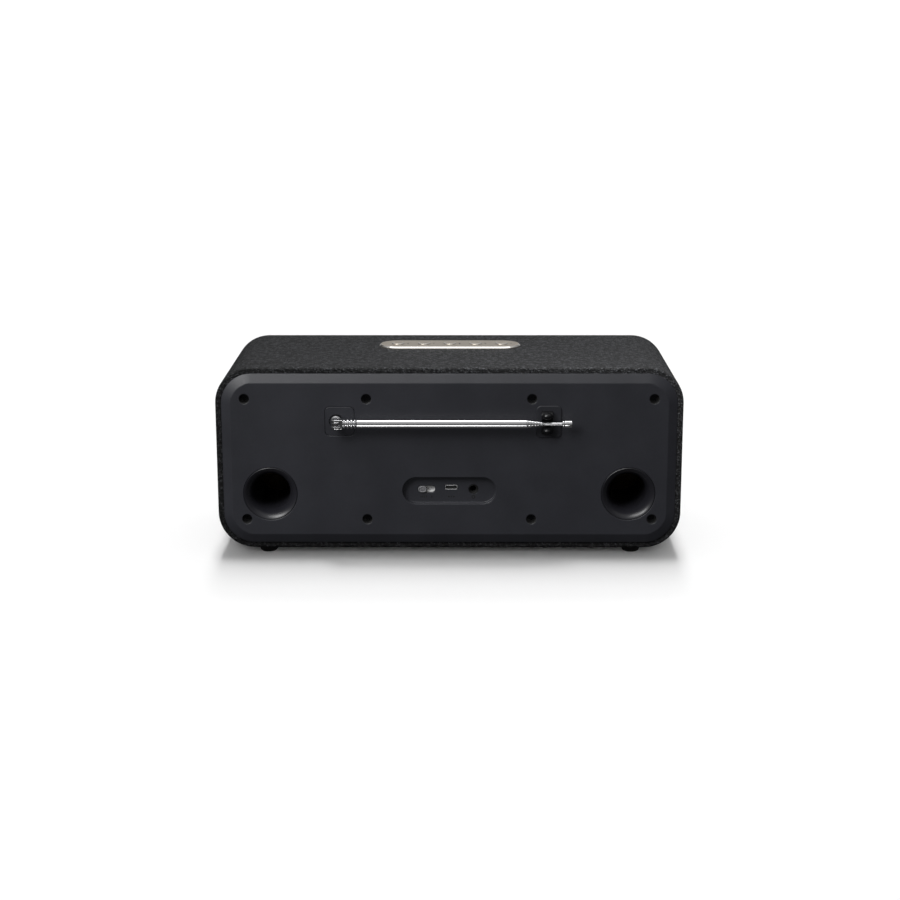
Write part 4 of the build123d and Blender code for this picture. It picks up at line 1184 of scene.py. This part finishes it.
# ------------------------------------------------------------------ top
@dataclass
class ButtonStrip:
    """The champagne strip with its polished edge, and the five dished buttons."""

    thickness: float = 1.4
    bevel: float = 0.9
    button_r: float = 4.2
    gap: float = 0.1

    def build(self) -> None:
        """Builds the strip, its marks and the buttons."""
        box = Box("top_panel")
        places = [Box(f"button_{number}") for number in range(1, 6)]
        self.strip(box, places)
        for number, place in enumerate(places, 1):
            self.button(number, place)
        self.marks(box, places)

    def strip(self, box: Box, places: Sequence[Box]) -> None:
        """The strip, with a round hole for each button."""
        shape = Shape()
        size_x, size_y = box.size.x, box.size.y
        foot = shape.plate(size_x, size_y, size_y / 2, (0, 0, -self.thickness), 32)
        top = shape.raised(foot, self.thickness - self.bevel)
        shape.opened(foot)
        bright = shape.stepped(top, self.bevel, self.bevel)
        bright += shape.stepped(top, 0.12)
        paint(bright, 1)
        shape.stepped(top, 0.8)
        shape.opened(top)
        for place in places:
            ring = shape.disc(self.button_r + self.gap + 0.5, (place.centre.x, 0, 0), 64)
            shape.pocket(ring, 0.5, self.thickness)
        for level in (0.0, -self.thickness):
            shape.fill(level)
        shape.soften(0.12, shape.edges_at(0.0), segments=2)
        shape.piece(
            "top_panel", [CHAMPAGNE, POLISHED_EDGE], "cabinet", ["top_panel"],
            origin=(box.centre.x, box.centre.y, box.high.z),
        )

    def button(self, number: int, box: Box) -> None:
        """A button with a shallow dish and a rounded rim."""
        top, radius = 0.0, self.button_r
        profile = [
            (0, -0.5), (0.9, -0.465), (1.8, -0.36), (2.6, -0.21), (3.2, -0.06), (3.45, -0.01), (3.7, top),
            (3.95, -0.05), (4.12, -0.17), (radius, -0.38), (radius, -1.7), (0, -1.7),
        ]
        shape = Shape()
        shape.lathe(profile, steps=72)
        edge = [face for face in shape.bm.faces if 3.5 < face.calc_center_median().xy.length < 4.15]
        paint(edge, 1)
        name = f"button_{number}"
        shape.piece(
            name, [CHAMPAGNE, POLISHED_EDGE], name, [name], origin=(box.centre.x, box.centre.y, box.high.z)
        )

    def marks(self, box: Box, places: Sequence[Box]) -> None:
        """A small dark sign beside each button: one to three dots in a line, with no lettering."""
        shape = Shape()
        for number, place in enumerate(places):
            x = place.centre.x - 6.6
            for row in range(number % 3 + 1):
                shape.raised(shape.plate(1.0, 0.9, 0.15, (x, (row - number % 3 / 2) * 1.4, 0), 2), 0.02)
        shape.piece("button_marks", INNER_PLASTIC, "cabinet", (), origin=(0, box.centre.y, box.high.z))


# ------------------------------------------------------------------ front
@dataclass
class Front:
    """The slotted grille in its bright ring, the display's surround and window, and the volume knob."""

    grille_corner: float = 11.75
    slot: tuple[float, float] = (78.0, 2.9)
    slot_pitch: float = 6.0
    slots: int = 14
    speaker_x: float = 95.0
    ring_width: float = 1.8
    ring_corner: float = 13.55
    fascia_border: float = 7.0
    shaft_hole_r: float = 5.0
    knob_flutes: int = 36

    def build(self) -> None:
        """Builds the front from the grille outwards."""
        self.grille()
        self.trim_ring()
        self.fascia()
        self.window()
        self.knob()

    def grille(self) -> None:
        """The moulded grille: a slotted skin with a wall behind it."""
        box, fascia, knob = Box("front_grille"), Box("display_fascia"), Box("volume_knob")
        middle = box.centre.z
        shape = Shape()
        face = shape.plate(box.size.x, box.size.z, self.grille_corner, steps=14)
        drop = bmesh.ops.extrude_edge_only(shape.bm, edges=list(face.edges))["geom"]
        bmesh.ops.translate(shape.bm, vec=(0, 0, -3), verts=only_verts(drop))
        shape.stepped(face, 0.9)
        shape.opened(face)
        width, height = self.slot
        for side in (-1, 1):
            for number in range(self.slots):
                place = (side * self.speaker_x, (number - (self.slots - 1) / 2) * self.slot_pitch, 0)
                shape.pocket(shape.plate(width + 1.2, height + 1.2, height / 2 + 0.6, place, 6), 0.6, 3.0)
        opening = shape.plate(
            fascia.size.x - 2.8, fascia.size.z - 2.8, fascia.size.z / 2, (0, fascia.centre.z - middle, 0), 16
        )
        shape.pocket(opening, 0.6, 3.0)
        shape.pocket(shape.disc(self.shaft_hole_r + 0.6, (0, knob.centre.z - middle, 0)), 0.6, 3.0)
        shape.fill(0.0)
        shape.soften(0.45, shape.edges_at(0.0), segments=3)
        shape.piece(
            "front_grille", GRILLE_PLASTIC, "cabinet", ["front_grille"], Facing.FRONT,
            (box.centre.x, box.low.y, middle), 0.8,
        )

    def trim_ring(self) -> None:
        """The bright ring round the grille."""
        box = Box("front_trim_ring")
        shape = Shape()
        face = shape.plate(box.size.x, box.size.z, self.ring_corner, (0, 0, -box.size.y), 16)
        ring = shape.stepped(face, self.ring_width)
        shape.opened(face)
        made = bmesh.ops.extrude_face_region(shape.bm, geom=ring)["geom"]
        bmesh.ops.translate(
            shape.bm, vec=(0, 0, box.size.y), verts=only_verts(made)
        )
        shape.soften(0.5, shape.edges_at(0.0), segments=4)
        shape.piece(
            "front_trim_ring", CHAMPAGNE, "cabinet", ["front_trim_ring"], Facing.FRONT,
            (box.centre.x, box.low.y, box.centre.z),
        )

    def fascia(self) -> None:
        """The display's metal surround, with a polished edge inside and out."""
        box = Box("display_fascia")
        width, height = box.size.x, box.size.z
        shape = Shape()
        foot = shape.plate(width, height, height / 2, (0, 0, -1.6), 24)
        top = shape.raised(foot, 0.9)
        paint(shape.stepped(top, 0.7, 0.7), 1)
        shape.stepped(top, self.fascia_border - 1.2)
        paint(shape.stepped(top, 0.5, -0.4), 1)
        shape.raised(top, -1.1)
        shape.soften(0.12, shape.edges_at(0.0), segments=2)
        shape.piece(
            "display_fascia", [CHAMPAGNE, POLISHED_EDGE], "cabinet", ["display_fascia"], Facing.FRONT,
            (box.centre.x, box.low.y, box.centre.z),
        )

    def window(self) -> None:
        """The smoked window, with a softened rim."""
        box = Box("display_window")
        width, height = box.size.x, box.size.z
        shape = Shape()
        foot = shape.plate(width, height, height / 2, (0, 0, -box.size.y), 24)
        shape.stepped(shape.raised(foot, box.size.y - 0.25), 0.45, 0.25)
        shape.soften(0.2, angle=25)
        shape.piece(
            "display_window", SMOKED_WINDOW, "cabinet", ["display_window"], Facing.FRONT,
            (box.centre.x, box.low.y, box.centre.z),
        )

    def knob(self) -> None:
        """The volume knob: fluted side, polished chamfer, spun face and a pointer dot."""
        box = Box("volume_knob")
        radius, depth = box.size.x / 2, box.size.y
        shape = Shape()
        profile = [
            (0, -0.35), (radius - 2.4, -0.35), (radius - 2.0, -0.1), (radius - 1.4, 0), (radius - 0.9, 0),
            (radius, -0.9), (radius, -2.2), (radius, -depth + 0.8), (radius - 0.6, -depth),
            (radius - 2, -depth),
            (radius - 2, -depth + 5), (0, -depth + 5),
        ]
        shape.lathe(profile, steps=self.knob_flutes * 4)
        bright, side = [], []
        for face in shape.bm.faces:
            centre = face.calc_center_median()
            turn = math.atan2(centre.y, centre.x) % (FULL_TURN / self.knob_flutes)
            if radius - 1.0 < centre.xy.length < radius - 0.2 and centre.z > -1:
                bright.append(face)
            if -depth + 0.8 < centre.z < -2.3 and centre.xy.length > radius - 0.3:
                if FULL_TURN / self.knob_flutes * 0.25 < turn < FULL_TURN / self.knob_flutes * 0.75:
                    side.append(face)
        paint(bright, 1)
        bmesh.ops.inset_region(shape.bm, faces=side, thickness=0.18, depth=-0.5, use_even_offset=True)
        dot = shape.disc(0.8, (0, radius - 4, -0.36), 24)
        raised = shape.raised(dot, 0.05)
        paint([raised], 2)
        shape.piece(
            "volume_knob", [CHAMPAGNE, POLISHED_EDGE, INNER_PLASTIC], "volume_knob", ["volume_knob"],
            Facing.FRONT, (box.centre.x, box.low.y, box.centre.z), sharp=30,
        )


@dataclass
class Speakers:
    """The two drivers' moving fronts: a pressed cone with ribs, a dust cap and a rubber half roll."""

    cone_r: float = 21.0
    neck_r: float = 6.8
    depth: float = 10.0
    cap_r: float = 8.7
    roll_r: float = 2.6

    def build(self) -> None:
        """Builds both drivers' fronts."""
        base = Box("driver_surrounds").high.y
        shape = Shape()
        for side in ("left", "right"):
            box = Box(f"cone_{side}")
            self.cone(side, box)
            self.surround(shape, box.centre.x)
        shape.piece(
            "driver_surrounds", SURROUND_RUBBER, "cabinet", ["driver_surrounds"], Facing.FRONT,
            (0, base, Box("cone_left").centre.z),
        )

    def cone(self, side: str, box: Box) -> None:
        """One cone with its dust cap.

        Args:
            side: left or right.
            box: the CAD cone's box.
        """
        rim, neck, deep = self.cone_r, self.neck_r, self.depth
        slope = [(rim - 0.4, 0)]
        for share in (0.25, 0.5, 0.75):
            radius, level = rim + (neck - rim) * share, -deep * share
            slope += [(radius + 0.5, level + 0.42), (radius, level + 0.12), (radius - 0.5, level - 0.22)]
        slope += [(neck, -deep + 0.5)]
        back = [(neck, -deep), (neck + 0.5, -deep), (rim, -0.5), (rim, 0)]
        shape = Shape()
        shape.lathe(slope + back, steps=72, ring=True)
        lift = -deep * (rim - self.cap_r) / (rim - neck)
        inside = [(0, lift + 2.8), (3.2, lift + 2.5), (7.0, lift + 0.9), (self.cap_r - 0.5, lift)]
        cap = [
            (self.cap_r, lift + 0.1), (7.4, lift + 1.25), (5.6, lift + 2.2), (3.2, lift + 2.95),
            (0, lift + 3.25),
        ]
        shape.lathe(inside + cap, steps=72)
        shape.piece(
            f"cone_{side}", CONE_PAPER, f"cone_{side}", [f"cone_{side}"], Facing.FRONT,
            (box.centre.x, box.low.y, box.centre.z),
        )

    def surround(self, shape: Shape, x: float) -> None:
        """Adds one half roll round a cone.

        Args:
            shape: what it is added to.
            x: the driver's middle.
        """
        middle, reach, skin = self.cone_r + self.roll_r + 0.5, self.roll_r, 0.4
        outer = [(middle - reach * c, skin + reach * s) for c, s in ((1, 0), (0.92, 0.38), (0.71, 0.71), (0.38, 0.92),
                 (0, 1), (-0.38, 0.92), (-0.71, 0.71), (-0.92, 0.38), (-1, 0))]
        inner = [
            (middle + (radius - middle) * 0.85, max(0.0, (z - skin) * 0.85))
            for radius, z in reversed(outer)
        ]
        ends = [(self.cone_r + 0.15, 0), (self.cone_r + 0.15, skin)]
        rim = [(middle + reach + 0.9, skin), (middle + reach + 0.9, 0)]
        shape.lathe(ends + outer + rim + inner, (x, 0, 0), 72, ring=True)


class Inside:
    """The parts that keep their CAD shape: boards, battery, dividers, motors and screws."""

    def dress(self) -> None:
        """Gives every CAD node that still shows its finish."""
        slots = {part["node"]: part["material_slot"] for part in frame["record"]["subparts"]}
        for name, node in frame["nodes"].items():
            node.data.materials.clear()
            node.data.materials.append(NODE_FINISH[slots[name]].material())
        log.info("dressed %d CAD nodes", len(frame["nodes"]))


# ------------------------------------------------------------------ studio
@dataclass
class Studio:
    """A white floor that runs to the horizon, the lights on it and on the object, and the camera."""

    camera_at: tuple[float, float, float] = (-0.00713, 1.1825, 0.34485)
    camera_turn: tuple[float, float, float] = (76.36, 0.0514, -179.6723)
    lens: float = 71.797
    floor_size: float = 60.0
    floor_white: float = 0.86
    sky_low: float = 0.035
    sky_high: float = 0.6
    glow: float = 0.2
    front_glow: float = 0.16
    under: float = 0.06
    key: float = 1.15
    key_fill: float = 0.85
    key_place: tuple[float, float] = (55.0, 32.0)
    key_softness: float = 30.0
    box_power: float = 8.0
    box_place: tuple[float, float] = (33.0, 37.0)
    box_size: float = 0.45
    box_distance: float = 1.3
    skin_key: float = 1.25
    sheen_power: float = 1.7
    front_light: float = 1.4
    sheen_at: tuple[float, float, float] = (-0.13, 0.17, 0.4)
    strip_light: float = 0.17
    strip_edge: float = 1.2
    chrome_light: float = 0.6
    floor_light: float = 2.2
    floor_base: float = 0.04
    floor_under: float = 0.5
    floor_softness: float = 9.0
    floor_steps: tuple[float, ...] = (89.3, 87.8, 86.4, 84.5, 81.0, 75.0, 67.0, 55.0)

    def build(self) -> None:
        """Builds the studio round the object."""
        floor = self.floor()
        self.world()
        self.lights(floor)
        self.camera()
        bpy.context.scene.view_settings.view_transform = "Standard"

    def floor(self) -> Object:
        """The floor, just under the feet, which the object doesn't mirror."""
        mesh = bpy.data.meshes.new("floor")
        bm = bmesh.new()
        bmesh.ops.create_grid(bm, x_segments=1, y_segments=1, size=self.floor_size)
        bm.to_mesh(mesh)
        bm.free()
        recipe = Recipe(bpy.data.materials.new("studio_floor"))
        cloud = recipe.noise(1.7, 2.0)
        white = (1, 1, 1)
        base = recipe.blend(shade(white, self.floor_white), shade(white, self.floor_white + 0.02), cloud)
        mesh.materials.append(recipe.surface(Base_Color=base, Roughness=0.9, Specular_IOR_Level=0.0))
        floor = bpy.data.objects.new("floor", mesh)
        bpy.context.scene.collection.objects.link(floor)
        floor.visible_diffuse = False
        floor.visible_glossy = False
        floor.visible_shadow = False
        return floor

    def world(self) -> None:
        """A dim sky that is brighter overhead, low down behind the camera and straight below."""
        world = bpy.data.worlds.new("studio")
        bpy.context.scene.world = world
        recipe = Recipe(world, "Generated")
        split = recipe.node("ShaderNodeSeparateXYZ", None, {0: recipe.place}).outputs
        across, back, rise = (Amount(recipe, socket) for socket in split)
        high = recipe.between(rise, 0.35, 0.95) * self.sky_high
        level = recipe.between(rise, -0.2, 0.1)
        behind = recipe.between(back, 0.3, 0.9) * level * (1 + 0.6 * across)
        ahead = recipe.between(back, -0.3, -0.9) * level * (1 - 1.2 * across)
        below = recipe.between(rise, -0.85, -0.98)
        radiance = self.sky_low + high + behind * self.glow + ahead * self.front_glow + below * self.under
        light = recipe.node("ShaderNodeBackground", None, {"Strength": radiance})
        white = recipe.node("ShaderNodeBackground", None, {"Color": (1, 1, 1, 1), "Strength": 1.1})
        ray = recipe.node("ShaderNodeLightPath").outputs["Is Camera Ray"]
        both = recipe.node("ShaderNodeMixShader", None, {0: ray, 1: light.outputs[0], 2: white.outputs[0]})
        recipe.node("ShaderNodeOutputWorld", None, {"Surface": both.outputs[0]})

    def light(
        self, name: str, kind: str, energy: float, place: tuple[float, float], far: float = 1.0
    ) -> Object:
        """A light that shines at the object's middle.

        Args:
            name: its name.
            kind: the kind of light.
            energy: its strength.
            place: its height and its turn to the left from behind the camera, in degrees.
            far: its distance, in metres.

        Returns:
            The light.
        """
        rise, turn = (math.radians(value) for value in place)
        away = Vector((math.sin(turn) * math.cos(rise), math.cos(turn) * math.cos(rise), math.sin(rise)))
        data = bpy.data.lights.new(name, kind)
        data.energy = energy
        light = bpy.data.objects.new(name, data)
        light.location = away * far + UP * 0.06
        light.rotation_euler = away.to_track_quat("Z", "Y").to_euler()
        bpy.context.scene.collection.objects.link(light)
        return light

    def lit(self, name: str, things: Iterable[Object], left_out: bool = False) -> Collection:
        """The collection that a light is aimed with.

        Args:
            name: its name.
            things: what it holds.
            left_out: whether the light misses them, and falls on all the rest.

        Returns:
            The collection.
        """
        group = bpy.data.collections.new(name)
        for thing in things:
            group.objects.link(thing)
        if left_out:
            for entry in group.collection_objects:
                entry.light_linking.link_state = "EXCLUDE"
        return group

    def sun(
        self, name: str, energy: float, place: tuple[float, float], softness: float, group: Collection,
        shadow: bool = True,
    ) -> None:
        """A distant light of softness degrees across that falls only on a group."""
        lamp = self.light(name, "SUN", energy, place)
        lamp.data.angle = math.radians(softness)
        lamp.data.use_shadow = shadow
        lamp.light_linking.receiver_collection = group

    def lights(self, floor: Object) -> None:
        """A soft key and a softbox, lights for the metal alone, and a row that whitens the floor."""
        pieces = bpy.context.scene.objects
        chrome = [piece for piece in pieces if piece.get("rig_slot") == AERIAL_CHROME.slot]
        gold = [piece for piece in pieces if piece.get("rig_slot") == CHAMPAGNE.slot]
        strip = [piece for piece in gold if piece.name.startswith(("top_panel", "button_"))]
        skin = [piece for piece in pieces if piece.get("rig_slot") == LEATHERETTE.slot]
        matt = self.lit("all_but_floor_chrome_and_skin", [floor, *chrome, *skin], True)
        self.sun("key", self.key, self.key_place, self.key_softness, matt)
        shown = {finish.slot for finish in (REAR_PLASTIC, SWITCH_PLASTIC, BRIGHT_STEEL)}
        panel = [piece for piece in pieces if piece.get("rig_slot") in shown]
        back_only = self.lit("back_only", panel)
        self.sun("key_fill", self.key_fill, self.key_place, self.key_softness, back_only, False)
        softbox = self.light("softbox", "AREA", self.box_power, self.box_place, self.box_distance)
        softbox.data.size = self.box_size
        softbox.light_linking.receiver_collection = matt
        polished = self.lit("strip_only", strip)
        self.sun("strip", self.strip_light, (22.0, 180.0), 50.0, polished, False)
        self.sun("strip_edge", self.strip_edge, (76.0, 0.0), 70.0, polished, False)
        sheen = self.light("sheen", "AREA", self.sheen_power, (60.0, 0.0))
        sheen.location = self.sheen_at
        sheen.rotation_euler = (sheen.location - Vector((0, 0, 0.12))).to_track_quat("Z", "Y").to_euler()
        sheen.data.size = 0.3
        sheen.light_linking.receiver_collection = self.lit("skin_only", skin)
        skin = sheen.light_linking.receiver_collection
        self.sun("skin_key", self.skin_key, (60.0, 62.0), self.key_softness, skin)
        front = {finish.slot for finish in (GRILLE_PLASTIC, SMOKED_WINDOW, CONE_PAPER, SURROUND_RUBBER)}
        ahead = [piece for piece in pieces if piece.get("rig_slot") in front]
        ahead += [piece for piece in gold if piece not in strip]
        self.sun("front", self.front_light, (35.0, 205.0), 40.0, self.lit("front_only", ahead))
        steel = [piece for piece in pieces if piece.get("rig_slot") == BRIGHT_STEEL.slot]
        bright = self.lit("chrome_only", [*chrome, *steel])
        self.sun("chrome_top", self.chrome_light, (76.0, 180.0), 22.0, bright, False)
        self.sun("chrome_low", self.chrome_light * 0.6, (-30.0, 8.0), 22.0, bright, False)
        self.sun("chrome_side", self.chrome_light * 0.12, (50.0, 30.0), 10.0, bright, False)
        ground = self.lit("floor_only", [floor])
        self.sun("floor_base", self.floor_base, (89.0, 0.0), 9.0, ground, False)
        self.sun("floor_under", self.floor_under / math.sin(math.radians(24.0)), (24.0, 0.0), 22.0, ground)
        for number, rise in enumerate(self.floor_steps):
            energy = self.floor_light / len(self.floor_steps) / math.sin(math.radians(rise))
            self.sun(f"floor_{number}", energy, (rise, 180.0), self.floor_softness, ground)

    def camera(self) -> None:
        """The camera, a little to one side of the middle and above, looking at the back."""
        data = bpy.data.cameras.new("camera")
        data.lens = self.lens
        data.sensor_width = 36.0
        data.clip_end = 200.0
        camera = bpy.data.objects.new("camera", data)
        camera.location = self.camera_at
        camera.rotation_euler = [math.radians(turn) for turn in self.camera_turn]
        bpy.context.scene.collection.objects.link(camera)
        bpy.context.scene.camera = camera


def main() -> None:
    logging.basicConfig(level=logging.INFO, format="%(name)s: %(message)s")
    Inside().dress()
    outside = (Cabinet(), RearPanel(), ReflexPorts(), Sockets(), Aerial(), ButtonStrip())
    for part in (*outside, Front(), Speakers()):
        part.build()
    Studio().build()


if __name__ == "__main__":
    main()
